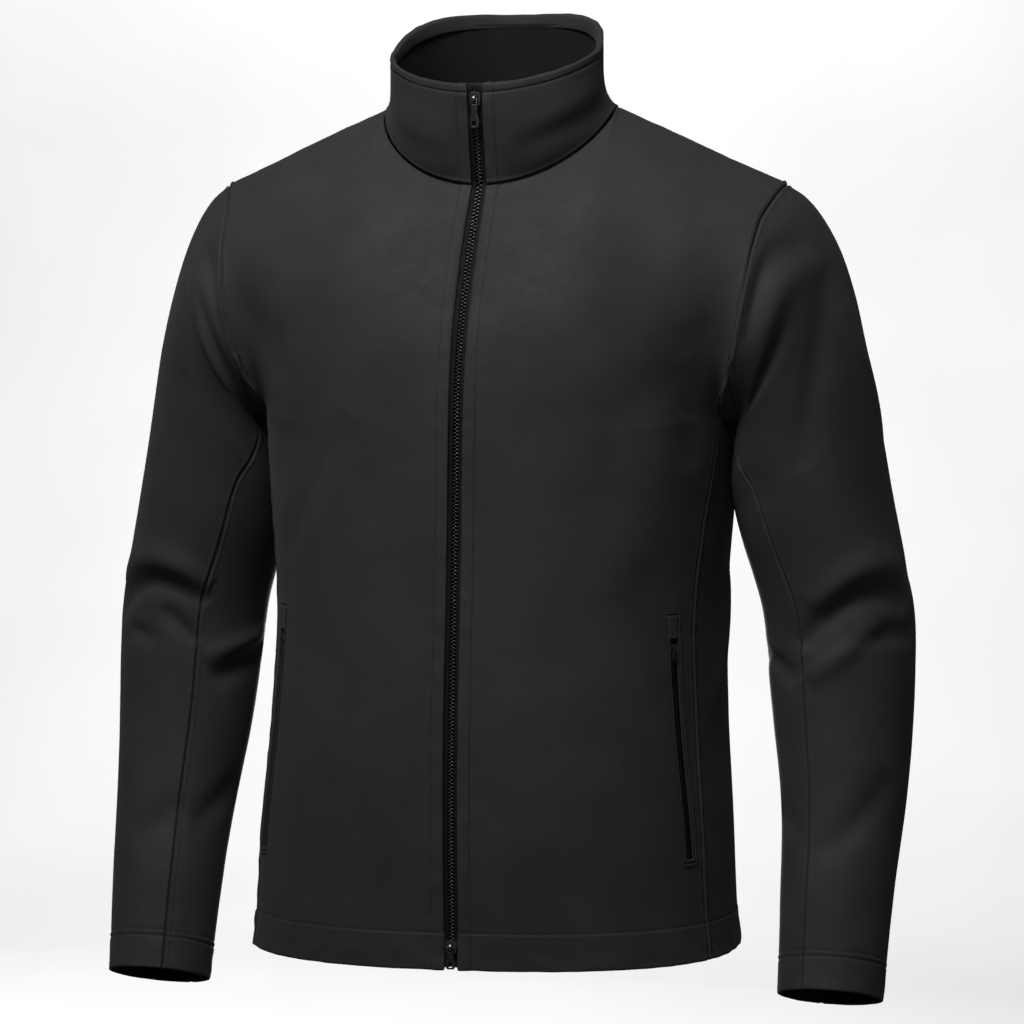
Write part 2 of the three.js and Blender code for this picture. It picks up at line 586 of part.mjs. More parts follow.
/** Point of a fold's run at a share t: the parabola that passes its three places. */
function foldPlace({ from, by, to }, t) {
  const weights = [(1 - t) * (1 - 2 * t), 4 * t * (1 - t), t * (2 * t - 1)];
  return [0, 1].map((k) => weights[0] * from[k] + weights[1] * by[k] + weights[2] * to[k]);
}

/** How far a table of folds lifts the cloth: a bell curve across each one, dying out at its ends. */
function foldLift(folds, degree, round, along) {
  let lift = 0;
  for (const fold of folds) {
    const middle = fold.by[0];
    const turned = middle + ((((round - middle + 180) % 360) + 360) % 360) - 180;
    let nearest = Infinity;
    let share = 0;
    let [x, y] = foldPlace(fold, 0);
    for (let k = 1; k <= FOLD_STEPS; k += 1) {
      const [nextX, nextY] = foldPlace(fold, k / FOLD_STEPS);
      const run = [(nextX - x) * degree, nextY - y];
      const off = [(turned - x) * degree, along - y];
      const t = clamp((off[0] * run[0] + off[1] * run[1]) / (run[0] ** 2 + run[1] ** 2), 0, 1);
      const distance = Math.hypot(off[0] - t * run[0], off[1] - t * run[1]);
      if (distance < nearest) {
        nearest = distance;
        share = (k - 1 + t) / FOLD_STEPS;
      }
      [x, y] = [nextX, nextY];
    }
    lift += fold.depth * Math.exp(-((nearest / fold.width) ** 2)) * Math.sqrt(Math.sin(Math.PI * share));
  }
  return lift;
}

/** Share of the body's folds left beside the pockets. */
function pocketShare(round, z) {
  const turned = Math.abs(round);
  const beside = Math.max(POCKET_CLEAR.first - turned, turned - POCKET_CLEAR.last, 0) * BODY_DEGREE;
  const above = Math.max(POCKET_CLEAR.low - z, z - POCKET_CLEAR.high, 0);
  return ease(clamp(Math.hypot(beside, above) / POCKET_CLEAR.fade, 0, 1));
}

/** Share of them left at a grid point: none at the front edge, the neckline and the armhole. */
function bodyFoldShare(i, j) {
  const cell = Math.min(j, 2 * HALF_CELLS - j);
  const beyond = Math.max(FRONT_CELLS - cell, cell - FRONT_CELLS - UNDERARM_CELLS, 0);
  const armhole = i > BODY_ROWS ? beyond : Math.hypot(beyond, BODY_ROWS - i);
  const top = BODY_ROWS + YOKE_ROWS - i;
  return ease(clamp(Math.min(cell, armhole, top) / FOLD_CELLS, 0, 1));
}

// The skin, and the walls made from it

let torso = mirrored(torsoHalf());
const collar = mirrored(collarHalf());
const sleeves = {
  left: sleeveGrid(1),
  right: sleeveGrid(-1).map((row) => row.map((p) => point(-p.x, p.y, p.z))),
};

/** A point of the body mirrored to a side; the tilt that lifts the wearer's left drops their right. */
function onSide(p, side, z) {
  const drop = side < 0 ? (2 * smooth(BODY, "z", z, "tilt") * p.x) / smooth(BODY, "z", z, "half") : 0;
  return point(side * p.x, p.y, p.z - drop);
}
torso.slice(0, BODY_ROWS + 1).forEach((row, i) => {
  const z = lerp(HEM_Z, CHEST_Z, i / BODY_ROWS);
  row.slice(HALF_CELLS + 1).forEach((p) => p.copy(onSide(point(-p.x, p.y, p.z), -1, z)));
});

const keyOf = (p) => [p.x, p.y, p.z].map((v) => Math.round(v * 500)).join();

/** Sum of the facing of every cell round each point, so that pieces which share a seam share its facing. */
const facing = new Map();
function addFacing(grid, turned) {
  for (let i = 0; i + 1 < grid.length; i += 1) {
    for (let j = 0; j + 1 < grid[i].length; j += 1) {
      const corners = [grid[i][j], grid[i][j + 1], grid[i + 1][j + 1], grid[i + 1][j]];
      if (corners.includes(null)) continue;
      const a = corners[2].clone().sub(corners[0]);
      const b = corners[3].clone().sub(corners[1]);
      const normal = a.cross(b).multiplyScalar(turned);
      for (const p of corners) {
        const key = keyOf(p);
        if (!facing.has(key)) facing.set(key, point(0, 0, 0));
        facing.get(key).add(normal);
      }
    }
  }
}
function faceSkin() {
  facing.clear();
  addFacing(torso, 1);
  addFacing(collar, 1);
  addFacing(sleeves.left, -1);
  addFacing(sleeves.right, 1);
}
faceSkin();
const facingAt = (p) => facing.get(keyOf(p)).clone().normalize();

torso = torso.map((row, i) => row.map((p, j) => {
  if (!p) return null;
  const round = Math.atan2(p.x, BODY_AXIS_Y - p.y) / DEG;
  const share = bodyFoldShare(i, j) * pocketShare(round, p.z);
  const lift = foldLift(BODY_FOLDS, BODY_DEGREE, round, p.z) * share;
  return p.clone().addScaledVector(facingAt(p), lift);
}));
for (const side of ["left", "right"]) {
  const around = ringTurns();
  sleeves[side] = sleeves[side].map((row, i) => row.map((p, j) => {
    const s = sleeveDistance(i);
    const turn = swungTurn(around[j % around.length], s);
    const lift = foldLift(SLEEVE_FOLDS[side], SLEEVE_DEGREE, turn, s);
    const share = ease(clamp(s / FOLD_FADE, 0, 1));
    return clearOfBody(p.clone().addScaledVector(facingAt(p), lift * share), s);
  }));
}
faceSkin();

/** The lining's grid: it starts beside the zip tapes and stops short of the rim, where the cloth rolls in. */
const lining = collar.map((_, i) => {
  const rise = clamp(i / COLLAR_ROWS, LINING.bottom, LINING.top);
  const low = Math.min(Math.floor(rise * COLLAR_ROWS), COLLAR_ROWS - 1);
  const row = collar[low].map((p, j) => p.clone().lerp(collar[low + 1][j], rise * COLLAR_ROWS - low));
  const last = row.length - 1;
  row[0] = row[0].clone().lerp(row[1], LINING.start);
  row[last] = row[last].clone().lerp(row[last - 1], LINING.start);
  return row;
});
addFacing(lining, 1);

/** Closed geometry from vertices and triangles. */
function closed(vertices, triangles) {
  const geometry = new THREE.BufferGeometry();
  const numbers = vertices.flatMap((p) => [p.x, p.y, p.z]);
  geometry.setAttribute("position", new THREE.Float32BufferAttribute(numbers, 3));
  geometry.setIndex(triangles.flat());
  return geometry;
}

/**
 * Wall of cloth over the cells of a grid that a piece owns.
 * outer and inner are the distances behind the skin of the wall's two faces; rim is the inset at its edges.
 */
function wallPiece(grid, owns, turned, outer = 0, inner = WALL, inset = SEAM_INSET) {
  const ids = new Map();
  const skin = [];
  const out = [];
  const into = [];
  const cells = [];
  const inward = [];
  const idOf = (i, j) => {
    const key = keyOf(grid[i][j]);
    if (!ids.has(key)) {
      ids.set(key, skin.length);
      const normal = facingAt(grid[i][j]);
      skin.push(grid[i][j]);
      inward.push({ sum: point(0, 0, 0), count: 0 });
      out.push(grid[i][j].clone().addScaledVector(normal, -outer));
      into.push(grid[i][j].clone().addScaledVector(normal, -inner));
    }
    return ids.get(key);
  };
  for (let i = 0; i + 1 < grid.length; i += 1) {
    for (let j = 0; j + 1 < grid[i].length; j += 1) {
      if (!owns(i, j) || !grid[i][j] || !grid[i + 1][j] || !grid[i][j + 1] || !grid[i + 1][j + 1]) continue;
      const ring = [idOf(i, j), idOf(i, j + 1), idOf(i + 1, j + 1), idOf(i + 1, j)];
      if (turned < 0) ring.reverse();
      const middle = ring.reduce((sum, k) => sum.add(skin[k]), point(0, 0, 0)).multiplyScalar(0.25);
      ring.forEach((k) => {
        inward[k].sum.add(middle.clone().sub(skin[k]).normalize());
        inward[k].count += 1;
      });
      cells.push(ring);
    }
  }
  const edges = new Map();
  for (const ring of cells) {
    ring.forEach((a, k) => {
      const b = ring[(k + 1) % 4];
      if (edges.has(`${b},${a}`)) edges.delete(`${b},${a}`);
      else edges.set(`${a},${b}`, [a, b]);
    });
  }
  const rim = new Set([...edges.values()].flat());
  for (const k of rim) {
    const share = inward[k].count === 1 ? 1.5 : 1;
    const move = inward[k].sum.clone().normalize().multiplyScalar(inset * share);
    out[k].add(move);
    into[k].add(move);
  }
  const count = skin.length;
  const triangles = [];
  for (const [a, b, c, d] of cells) {
    triangles.push([a, b, c], [a, c, d]);
    triangles.push([count + a, count + c, count + b], [count + a, count + d, count + c]);
  }
  for (const [a, b] of edges.values()) {
    // Both pieces at a seam split its twisted edge along the same diagonal.
    if (keyOf(skin[a]) < keyOf(skin[b])) triangles.push([a, count + b, b], [a, count + a, count + b]);
    else triangles.push([a, count + a, b], [b, count + a, count + b]);
  }
  return closed([...out, ...into], triangles);
}

/** Solid swept through like rings of points, closed by flat ends. */
function sweep(rings) {
  const size = rings[0].length;
  const triangles = [];
  for (let i = 0; i + 1 < rings.length; i += 1) {
    for (let k = 0; k < size; k += 1) {
      const a = i * size + k;
      const b = i * size + ((k + 1) % size);
      triangles.push([a, b, b + size], [a, b + size, a + size]);
    }
  }
  const last = (rings.length - 1) * size;
  for (let k = 1; k + 1 < size; k += 1) {
    triangles.push([0, k + 1, k], [last, last + k, last + k + 1]);
  }
  return outward(closed(rings.flat(), triangles));
}

/** The same geometry with its faces turned out. */
function outward(geometry) {
  const p = geometry.getAttribute("position");
  const index = geometry.getIndex().array;
  const at = (k) => point(p.getX(k), p.getY(k), p.getZ(k));
  let volume = 0;
  for (let k = 0; k < index.length; k += 3) {
    volume += at(index[k]).dot(at(index[k + 1]).cross(at(index[k + 2])));
  }
  if (volume < 0) {
    for (let k = 0; k < index.length; k += 3) [index[k], index[k + 1]] = [index[k + 1], index[k]];
  }
  return geometry;
}

/** Turns a closed indexed geometry into a solid that can be cut, and back. */
function toSolid(geometry) {
  const mesh = new wasm.Mesh({
    numProp: 3,
    vertProperties: new Float32Array(geometry.getAttribute("position").array),
    triVerts: new Uint32Array(geometry.getIndex().array),
  });
  mesh.merge();
  return new wasm.Manifold(mesh);
}

function fromSolid(solid) {
  const mesh = solid.getMesh();
  const geometry = new THREE.BufferGeometry();
  geometry.setAttribute("position", new THREE.BufferAttribute(new Float32Array(mesh.vertProperties), 3));
  geometry.setIndex(new THREE.BufferAttribute(new Uint32Array(mesh.triVerts), 1));
  return geometry;
}

// Finishes and the group

const cloth = { color: 0x2b2b2d, roughness: 0.72, metalness: 0 };
const liner = { color: 0x1a1a1c, roughness: 0.85, metalness: 0 };
const tape = { color: 0x0d0d0f, roughness: 0.8, metalness: 0 };
const metal = { color: 0x3a3a3d, roughness: 0.35, metalness: 0.9 };

const group = new THREE.Group();
function addPiece(name, geometry, finish, parent = group) {
  const mesh = new THREE.Mesh(geometry, new THREE.MeshStandardMaterial(finish));
  mesh.name = name;
  parent.add(mesh);
  return mesh;
}

// Body panels: the fronts end at the forward side seams, and the back wraps round to them.
const lastCell = 2 * HALF_CELLS;
addPiece("front_left", wallPiece(torso, (i, j) => j < FRONT_CELLS, 1), cloth);
addPiece("front_right", wallPiece(torso, (i, j) => j >= lastCell - FRONT_CELLS, 1), cloth);
addPiece("back", wallPiece(torso, (i, j) => j >= FRONT_CELLS && j < lastCell - FRONT_CELLS, 1), cloth);

// Sleeves in two pieces each, parted at the front and back seams.
const turns = ringTurns();
const frontSeam = turns.indexOf(FRONT_SEAM_TURN);
const backSeam = turns.indexOf(BACK_SEAM_TURN);
for (const [side, turned] of [["left", -1], ["right", 1]]) {
  const isUpper = (i, j) => j >= frontSeam && j < backSeam;
  addPiece(`upper_sleeve_${side}`, wallPiece(sleeves[side], isUpper, turned), cloth);
  addPiece(`under_sleeve_${side}`, wallPiece(sleeves[side], (i, j) => !isUpper(i, j), turned), cloth);
}

// The collar, and its lining behind the rolled rim.
addPiece("collar_outer", wallPiece(collar, () => true, 1), cloth);
const liningFace = WALL + 2 * LAYER_GAP;
addPiece("collar_inner", wallPiece(lining, () => true, 1, liningFace, liningFace + LINER_WALL), liner);

// The main zip

/** The line of the front edges from hem to rim, with the cloth's facing in the plane of that line. */
function zipLine() {
  const rows = [...torso, ...collar.slice(1)];
  const line = rows.map((row) => row[0]);
  return line.map((p, i) => {
    const along = line[Math.min(i + 1, line.length - 1)].clone().sub(line[Math.max(i - 1, 0)]);
    const out = point(0, -along.z, along.y).normalize();
    const across = rows[i][1].clone().sub(p);
    return { y: p.y, z: p.z, out, fall: -across.dot(out) / across.x };
  });
}

/** The zip line between two heights, with its ends worked out. */
function zipStretch(from, to) {
  const line = zipLine();
  const at = (z) => {
    const i = clamp(line.findIndex((p) => p.z >= z), 1, line.length - 1);
    const t = (z - line[i - 1].z) / (line[i].z - line[i - 1].z);
    return {
      y: lerp(line[i - 1].y, line[i].y, t),
      z,
      out: line[i - 1].out.clone().lerp(line[i].out, t).normalize(),
      fall: Math.max(line[i - 1].fall, line[i].fall),
    };
  };
  return [at(from), ...line.filter((p) => p.z > from + 2 && p.z < to - 2), at(to)];
}

/** Strip along the zip line, given as corners of its section: distance from the centre line, and depth. */
function zipStrip(stretch, corners) {
  const rings = stretch.map(({ y, z, out, fall }) => corners.map(([x, depth]) => {
    const behind = depth + Math.max(Math.abs(x) - FRONT_EDGE, 0) * (fall + TAPE.drop);
    return point(x, y - out.y * behind, z - out.z * behind);
  }));
  return sweep(rings);
}

const hemFront = torso[0][0].z;
const rimFront = collar[COLLAR_ROWS][0].z;
const tapeFace = WALL + LAYER_GAP;
for (const [side, sign] of [["left", 1], ["right", -1]]) {
  const corners = [
    [sign * TAPE.near, tapeFace], [sign * TAPE.far, tapeFace],
    [sign * TAPE.far, tapeFace + TAPE.wall], [sign * TAPE.near, tapeFace + TAPE.wall],
  ];
  addPiece(`zip_tape_${side}`, zipStrip(zipStretch(hemFront + 1, rimFront - 1), corners), tape);
}
const chainTop = rimFront - CHAIN.below_rim;
const chainCorners = [
  [-CHAIN.half, CHAIN.front], [CHAIN.half, CHAIN.front], [CHAIN.half, CHAIN.back], [-CHAIN.half, CHAIN.back],
];
addPiece("zip_chain", zipStrip(zipStretch(hemFront + 2, chainTop), chainCorners), tape);
const guardSteps = [-1, -0.5, 0, 0.5, 1].map((t) => t * CHIN_GUARD.half);
const guardCorners = [
  ...guardSteps.map((x) => [x, CHIN_GUARD.depth]),
  ...guardSteps.map((x) => [-x, CHIN_GUARD.depth + LINER_WALL]),
];
addPiece("chin_guard", zipStrip(zipStretch(rimFront - CHIN_GUARD.height, rimFront), guardCorners), liner);

// Sliders and pulls. In their own frame -Y faces out, the chain's face is y = 0 and Z runs up the zip.

/** Flat shape in X and Z, extruded along Y about y = 0. */
function plateXZ(shape, wall) {
  const geometry = new THREE.ExtrudeGeometry(shape, { depth: wall, bevelEnabled: false, curveSegments: 4 });
  geometry.translate(0, 0, -wall / 2);
  geometry.rotateX(Math.PI / 2);
  return geometry;
}

const ring = (points) => points.map(([x, y]) => new THREE.Vector2(x, y));

/** Merged, indexed copy of a three.js geometry as a solid. */
function solidOf(geometry) {
  const bare = new THREE.BufferGeometry();
  const source = geometry.index ? geometry.toNonIndexed() : geometry;
  bare.setAttribute("position", source.getAttribute("position").clone());
  bare.setIndex([...Array(bare.getAttribute("position").count).keys()]);
  return toSolid(bare);
}

/** Slider body with skirts beside the chain and a bridge over its plate. */
function sliderGeometry(scale) {
  const { half, foot, crown, length, plate, low, high } = SLIDER;
  const face = -LAYER_GAP / scale - plate;
  const right = [[foot, -length / 2], [half, low], [half, high], [crown, length / 2]];
  const left = right.map(([x, z]) => [-x, z]).reverse();
  const body = plateXZ(new THREE.Shape(ring([...right, ...left])), plate);
  body.translate(0, face + plate / 2, 0);
  let solid = solidOf(body);
  const tall = SLIDER.skirt_reach + plate / 2;
  for (const sign of [-1, 1]) {
    const skirt = new THREE.BoxGeometry(SLIDER.skirt, tall, SLIDER.skirt_length);
    skirt.translate(sign * (half - SLIDER.skirt_inset), face + plate / 2 + tall / 2, SLIDER.skirt_up);
    solid = solid.add(solidOf(skirt));
  }
  const inner = BRIDGE.hole / 2;
  const outer = inner + BRIDGE.bar;
  const shoulder = BRIDGE.rise + BRIDGE.bar - BRIDGE.bevel;
  const arch = new THREE.Shape(ring([
    [-outer, -BRIDGE.sunk], [outer, -BRIDGE.sunk], [outer, shoulder],
    [inner, BRIDGE.rise + BRIDGE.bar], [-inner, BRIDGE.rise + BRIDGE.bar], [-outer, shoulder],
  ]));
  const hole = [[-inner, 0], [-inner, BRIDGE.rise], [inner, BRIDGE.rise], [inner, 0]];
  arch.holes.push(new THREE.Path(ring(hole)));
  const bridge = new THREE.ExtrudeGeometry(arch, { depth: BRIDGE.width, bevelEnabled: false });
  bridge.translate(0, 0, -BRIDGE.width / 2);
  bridge.rotateY(Math.PI / 2);
  bridge.rotateX(Math.PI);
  bridge.translate(0, face, 0);
  const geometry = fromSolid(solid.add(solidOf(bridge)));
  geometry.scale(scale, scale, scale);
  return geometry;
}

/** Hanging pull about its own pivot: a crossbar, an eye for the bridge, and a tab with a window. */
function pullGeometry(length, scale) {
  const size = length / scale;
  const top = PULL.wall / 2;
  const right = [
    [PULL.toe, -size], [PULL.foot, -size * PULL_SHARES.toe], [PULL.foot, -size * PULL_SHARES.hip],
    [PULL.waist, -size * PULL_SHARES.waist], [PULL.neck, -PULL.eye - top], [PULL.neck, top],
  ];
  const left = right.map(([x, z]) => [-x, z]).reverse();
  const shape = new THREE.Shape(ring([...right, ...left]));
  const hole = (half, low, high) => {
    const corners = [[-half, high], [half, high], [half, low], [-half, low]];
    return new THREE.Path(ring(corners));
  };
  const low = -size * PULL_SHARES.window;
  shape.holes.push(hole(PULL.eye_half, -PULL.eye, -top), hole(PULL.window_half, low, low + PULL.window));
  const geometry = plateXZ(shape, PULL.wall);
  geometry.scale(scale, scale, scale);
  return geometry;
}

/**
 * Slider and pull on a zip: at is the chain's face, yaw turns the facing about Z and lean tips it back.
 * The pull hangs straight down from its pivot inside the bridge.
 */
function addSlider(name, at, yaw, lean, length, scale) {
  const frame = new THREE.Group();
  frame.position.copy(at);
  frame.rotation.set(lean, 0, yaw, "ZXY");
  group.add(frame);
  addPiece(`${name}_slider`, sliderGeometry(scale), metal, frame);
  const reach = LAYER_GAP + (SLIDER.plate + BRIDGE.rise / 2) * scale;
  frame.updateMatrixWorld(true);
  const pivot = new THREE.Group();
  pivot.position.copy(frame.localToWorld(point(0, -reach, 0)));
  pivot.rotation.z = yaw;
  group.add(pivot);
  addPiece(`${name}_pull`, pullGeometry(length, scale), metal, pivot);
}

function addMainSlider(name, z, length) {
  const [{ y, out }] = zipStretch(z, z + 3);
  const at = point(0, y - out.y * CHAIN.front, z - out.z * CHAIN.front);
  addSlider(name, at, 0, Math.atan2(-out.z, -out.y), length, 1);
}
addMainSlider("zip_top", rimFront - TOP_SLIDER.below_rim, TOP_SLIDER.pull);
addMainSlider("zip_bottom", hemFront + BOTTOM_SLIDER.above_hem, BOTTOM_SLIDER.pull);

// The hand pockets

/** Place on the body by height and angle: the point, its facing, and the level direction along the cloth. */
function bodyFrame(angle, z) {
  const p = bodyPoint(angle, z);
  const level = bodyPoint(angle + 0.02, z).sub(bodyPoint(angle - 0.02, z)).normalize();
  const up = bodyPoint(angle, z + 3).sub(bodyPoint(angle, z - 3)).normalize();
  return { p, level, out: level.clone().cross(up).normalize() };
}

/** Strip along a pocket between two heights, half wide, between two depths behind the cloth's face. */
function pocketStrip(side, z_low, z_high, half, front, back) {
  const rings = [];
  for (let i = 0; i <= POCKET.steps; i += 1) {
    const z = lerp(z_low, z_high, i / POCKET.steps);
    const t = (z - POCKET.z_bottom) / (POCKET.z_top - POCKET.z_bottom);
    const middle = lerp(POCKET.angle_bottom, POCKET.angle_top, t) * DEG;
    const corners = [[-1, front], [0, front], [1, front], [1, back], [0, back], [-1, back]];
    rings.push(corners.map(([share, depth]) => {
      const { p, out } = bodyFrame(middle + (share * half) / POCKET_RADIUS, z);
      p.addScaledVector(out, -depth);
      return onSide(p, side, z);
    }));
  }
  return sweep(rings);
}

for (const [side, sign] of [["left", 1], ["right", -1]]) {
  const { z_bottom, z_top, half, cut } = POCKET;
  const slot = toSolid(pocketStrip(sign, z_bottom, z_top, half, -cut, cut));
  const panel = group.getObjectByName(`front_${side}`);
  panel.geometry = fromSolid(toSolid(panel.geometry).subtract(slot));
  const welt = pocketStrip(
    sign, z_bottom - WELT.below, z_top + WELT.above, WELT.half, -LAYER_GAP - WELT.wall, -LAYER_GAP,
  );
  addPiece(`pocket_welt_${side}`, fromSolid(toSolid(welt).subtract(slot)), cloth);
  const low = z_bottom - POCKET_TAPE.beyond;
  const high = z_top + POCKET_TAPE.beyond;
  addPiece(
    `pocket_tape_${side}`,
    pocketStrip(sign, low, high, POCKET_TAPE.half, POCKET_TAPE.front, POCKET_TAPE.front + TAPE.wall), tape,
  );
  addPiece(
    `pocket_chain_${side}`,
    pocketStrip(
      sign, z_bottom + 1, z_top - 1, POCKET_CHAIN.half, POCKET_CHAIN.front, POCKET_CHAIN.back,
    ), tape,
  );
  const z = z_top - POCKET_SLIDER.below_top;
  const t = (z - z_bottom) / (z_top - z_bottom);
  const { p, out } = bodyFrame(lerp(POCKET.angle_bottom, POCKET.angle_top, t) * DEG, z);
  p.addScaledVector(out, -POCKET_CHAIN.front);
  const yaw = Math.atan2(out.x, -out.y) * sign;
  const lean = Math.atan2(-out.z, Math.hypot(out.x, out.y));
  addSlider(`pocket_${side}`, onSide(p, sign, z), yaw, lean, POCKET_SLIDER.pull, POCKET_SLIDER.scale);
}

export default group;
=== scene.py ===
"""Looks of a men's medium softshell jacket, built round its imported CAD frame.

The garment is laid out as smooth surfaces: the torso, the two sleeves and the collar, in the same
sections as the solids. Each cut piece takes its own stretch of a surface, gets its folds, its seams
and hems, and becomes a thin shell of cloth. Sewing, zip teeth and finishes are added on top.
Sizes are in millimetres until a mesh is made, and the meshes are in metres.
+X is the wearer's left, the front faces -Y and +Z is up.
"""

import logging
import math
from dataclasses import dataclass
from enum import Enum

import bmesh
import bpy
import numpy as np
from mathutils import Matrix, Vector

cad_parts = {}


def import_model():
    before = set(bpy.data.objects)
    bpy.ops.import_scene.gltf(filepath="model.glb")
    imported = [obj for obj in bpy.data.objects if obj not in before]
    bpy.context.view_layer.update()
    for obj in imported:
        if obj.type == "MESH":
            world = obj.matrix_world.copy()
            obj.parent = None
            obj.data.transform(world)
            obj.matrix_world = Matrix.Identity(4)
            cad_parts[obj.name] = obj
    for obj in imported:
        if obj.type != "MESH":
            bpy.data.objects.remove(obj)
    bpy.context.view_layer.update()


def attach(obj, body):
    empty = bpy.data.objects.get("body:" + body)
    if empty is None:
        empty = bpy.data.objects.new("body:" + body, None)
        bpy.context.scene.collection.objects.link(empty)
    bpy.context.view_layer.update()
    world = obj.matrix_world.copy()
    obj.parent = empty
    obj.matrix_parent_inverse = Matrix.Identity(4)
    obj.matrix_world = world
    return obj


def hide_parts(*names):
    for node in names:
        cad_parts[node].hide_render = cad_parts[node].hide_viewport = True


LOG = logging.getLogger("jacket")

MM = 0.001

# Driving sizes, as in the solids

FRONT_EDGE = 6.5
HEM_Z = -664.0
CHEST_Z = -246.0
NECK_HALF = 94.5
SHOULDER_TIP = np.array([229.0, 10.0, -61.0])
SLEEVE_LENGTH = 640.0
RIGHT_SLEEVE_DROP = 9.0

BODY_ROWS = 13
YOKE_ROWS = 10
NECK_CELLS = 6
SHOULDER_CELLS = 6
UNDERARM_CELLS = 6
BACK_NECK_CELLS = 5
FRONT_CELLS = NECK_CELLS + SHOULDER_CELLS
BACK_CELLS = SHOULDER_CELLS + BACK_NECK_CELLS
BACK_START = FRONT_CELLS + UNDERARM_CELLS
HALF_CELLS = BACK_START + BACK_CELLS


class Side(Enum):
    """The wearer's two sides, with the sign of X."""

    LEFT = 1
    RIGHT = -1

    @property
    def word(self) -> str:
        """The side's name as it stands in node names."""
        return self.name.lower()


@dataclass(frozen=True)
class BodySection:
    """One section of the body tube: its height, lifts, half width, depths in Y, seam angle and tilt."""

    z: float
    front_up: float
    back_up: float
    half: float
    front: float
    wide: float
    back: float
    seam: float
    tilt: float


@dataclass(frozen=True)
class SleeveRing:
    """One ring of a sleeve at a distance down the arm: outer and inner points, depth and lean."""

    s: float
    x_out: float
    z_out: float
    x_in: float
    z_in: float
    y: float
    deep: float
    lean: float


BODY = (
    BodySection(-664, 2, -4, 196.5, -154, -12, 127, 68.5, 3),
    BodySection(-636, 2, -4, 193.5, -154, -10, 125, 68.5, 3),
    BodySection(-560, 2, -2, 189, -157, -2, 123, 68.5, 2),
    BodySection(-480, 1, 0, 183, -155, 8, 119, 68.5, 1),
    BodySection(-400, 0, 2, 180, -149, 16, 118, 67.5, 0),
    BodySection(-320, -2, 4, 185, -143, 20, 123, 69, 0),
    BodySection(-262, -4, 6, 188.5, -140, 20, 128, 70.5, 0),
    BodySection(-246, -4, 6, 189, -139, 19, 129, 75, 0),
)
BODY_SQUARENESS = 2.3
BACK_CORNER = 109.0
CORNER_BLEND = 90.0
START_SLOPE = 0.75
CROWN_PEAK = 27 / 4
FRONT_CROWN = np.array([0.0, -3.0, 5.0])
BACK_CROWN = np.array([0.0, 4.0, 6.0])
TOP_SPAN = 0.09
TOP_SHARP = 0.72
TOP_SAMPLES = 9

CENTRE_FRONT = {"z": (-250, -220, -180, -142, -100, -62), "y": (-139, -137, -128, -112, -90, -67)}
CENTRE_BACK = {"z": (-240, -185, -125, -65, -28, -8), "y": (129, 134, 129, 111, 91, 79)}
NECKLINE = {"y_side": 4, "y_front": -67, "y_back": 79, "z_front": -62, "z_back": -8, "power": 1.25}
RIM = {"half": 85, "y_side": -14, "y_front": -81, "y_back": 77, "z_front": 16, "z_side": 44, "z_back": 78}
COLLAR_FLARE = 5.0
RIM_FRONT_POWER = 1.3
RIM_BACK_POWER = 1.6

ARMHOLE = np.array([
    (229, 10, -61), (218, -32, -85), (215, -50, -102), (212, -64, -124), (209, -72, -147),
    (205, -74, -170), (200, -70, -192), (193, -59, -215), (184, -32, -240), (189, 12, -252),
    (189, 52, -240), (192, 78, -207), (199, 86, -170), (207, 82, -135), (215, 64, -105), (223, 38, -78),
], float)
ARMHOLE_MIDDLE = {"y": 5, "z": -155, "deep": 75, "tall": 95}
FRONT_CORNER_TURN = 150.0
BACK_CORNER_TURN = 222.0
FRONT_TURNS = (150, 138, 126, 114, 99, 84, 68, 51, 34, 17, 0)
BACK_TURNS = (222, 236, 250, 264, 278, 292, 306, 320, 334, 347, 360)
FRONT_SEAM_TURN = 114.0
BACK_SEAM_TURN = 250.0

SLEEVE = (
    SleeveRing(0, 229, -61, 189, -252, 6, 75, 0),
    SleeveRing(16, 244, -72, 199, -253, 11, 76, 0),
    SleeveRing(34, 257, -89, 201, -257, 16, 77, 0),
    SleeveRing(60, 269.5, -114, 195, -267, 21, 77, 0),
    SleeveRing(92, 279.5, -146, 188, -283, 25, 76, 0),
    SleeveRing(130, 287.5, -185, 184, -303, 28, 75, 0),
    SleeveRing(175, 296, -229, 187, -324, 31, 73, 0),
    SleeveRing(220, 304, -272, 193, -347, 33, 71, 0),
    SleeveRing(262, 312, -314, 201, -371, 35, 68, 1),
    SleeveRing(302, 320.5, -356, 208, -395, 36, 65, 2),
    SleeveRing(340, 328, -396, 211.5, -418, 36, 62, 4),
    SleeveRing(380, 329.5, -437, 214, -446, 33, 60, 8),
    SleeveRing(430, 328.5, -488, 219, -490, 26, 57, 12),
    SleeveRing(500, 325.5, -556, 228, -556, 8, 52, 16),
    SleeveRing(575, 320, -630, 233, -630, -20, 48, 19),
    SleeveRing(640, 316.5, -692, 235.5, -692, -41, 45, 19),
)
SEAM_SWING = {"s": (0, 8, 28, 60, 100, 167, 262, 320, 640), "swing": (0, 17, 33, 34, 25, 9, 4, 0, 0)}
SWING_TURNS = (34.0, 236.0)
ARMHOLE_FADE = 150.0
SLEEVE_CLEAR = 2.2
CLEAR_RATE = 0.15

POCKET_RADIUS = 165.0
POCKET = {"z_top": -411.0, "z_bottom": -585.0, "angle_top": 59.0, "angle_bottom": 62.8, "half": 5.0}
POCKET_BEYOND = 0.2


# Small helpers


def lerp(a: np.ndarray, b: np.ndarray, t: np.ndarray) -> np.ndarray:
    """Straight-line value between a and b at share t."""
    return a + (b - a) * t


def ease(x: np.ndarray) -> np.ndarray:
    """Smooth step: three x squared less two x cubed, with x held between 0 and 1."""
    x = np.clip(x, 0.0, 1.0)
    return x * x * (3 - 2 * x)


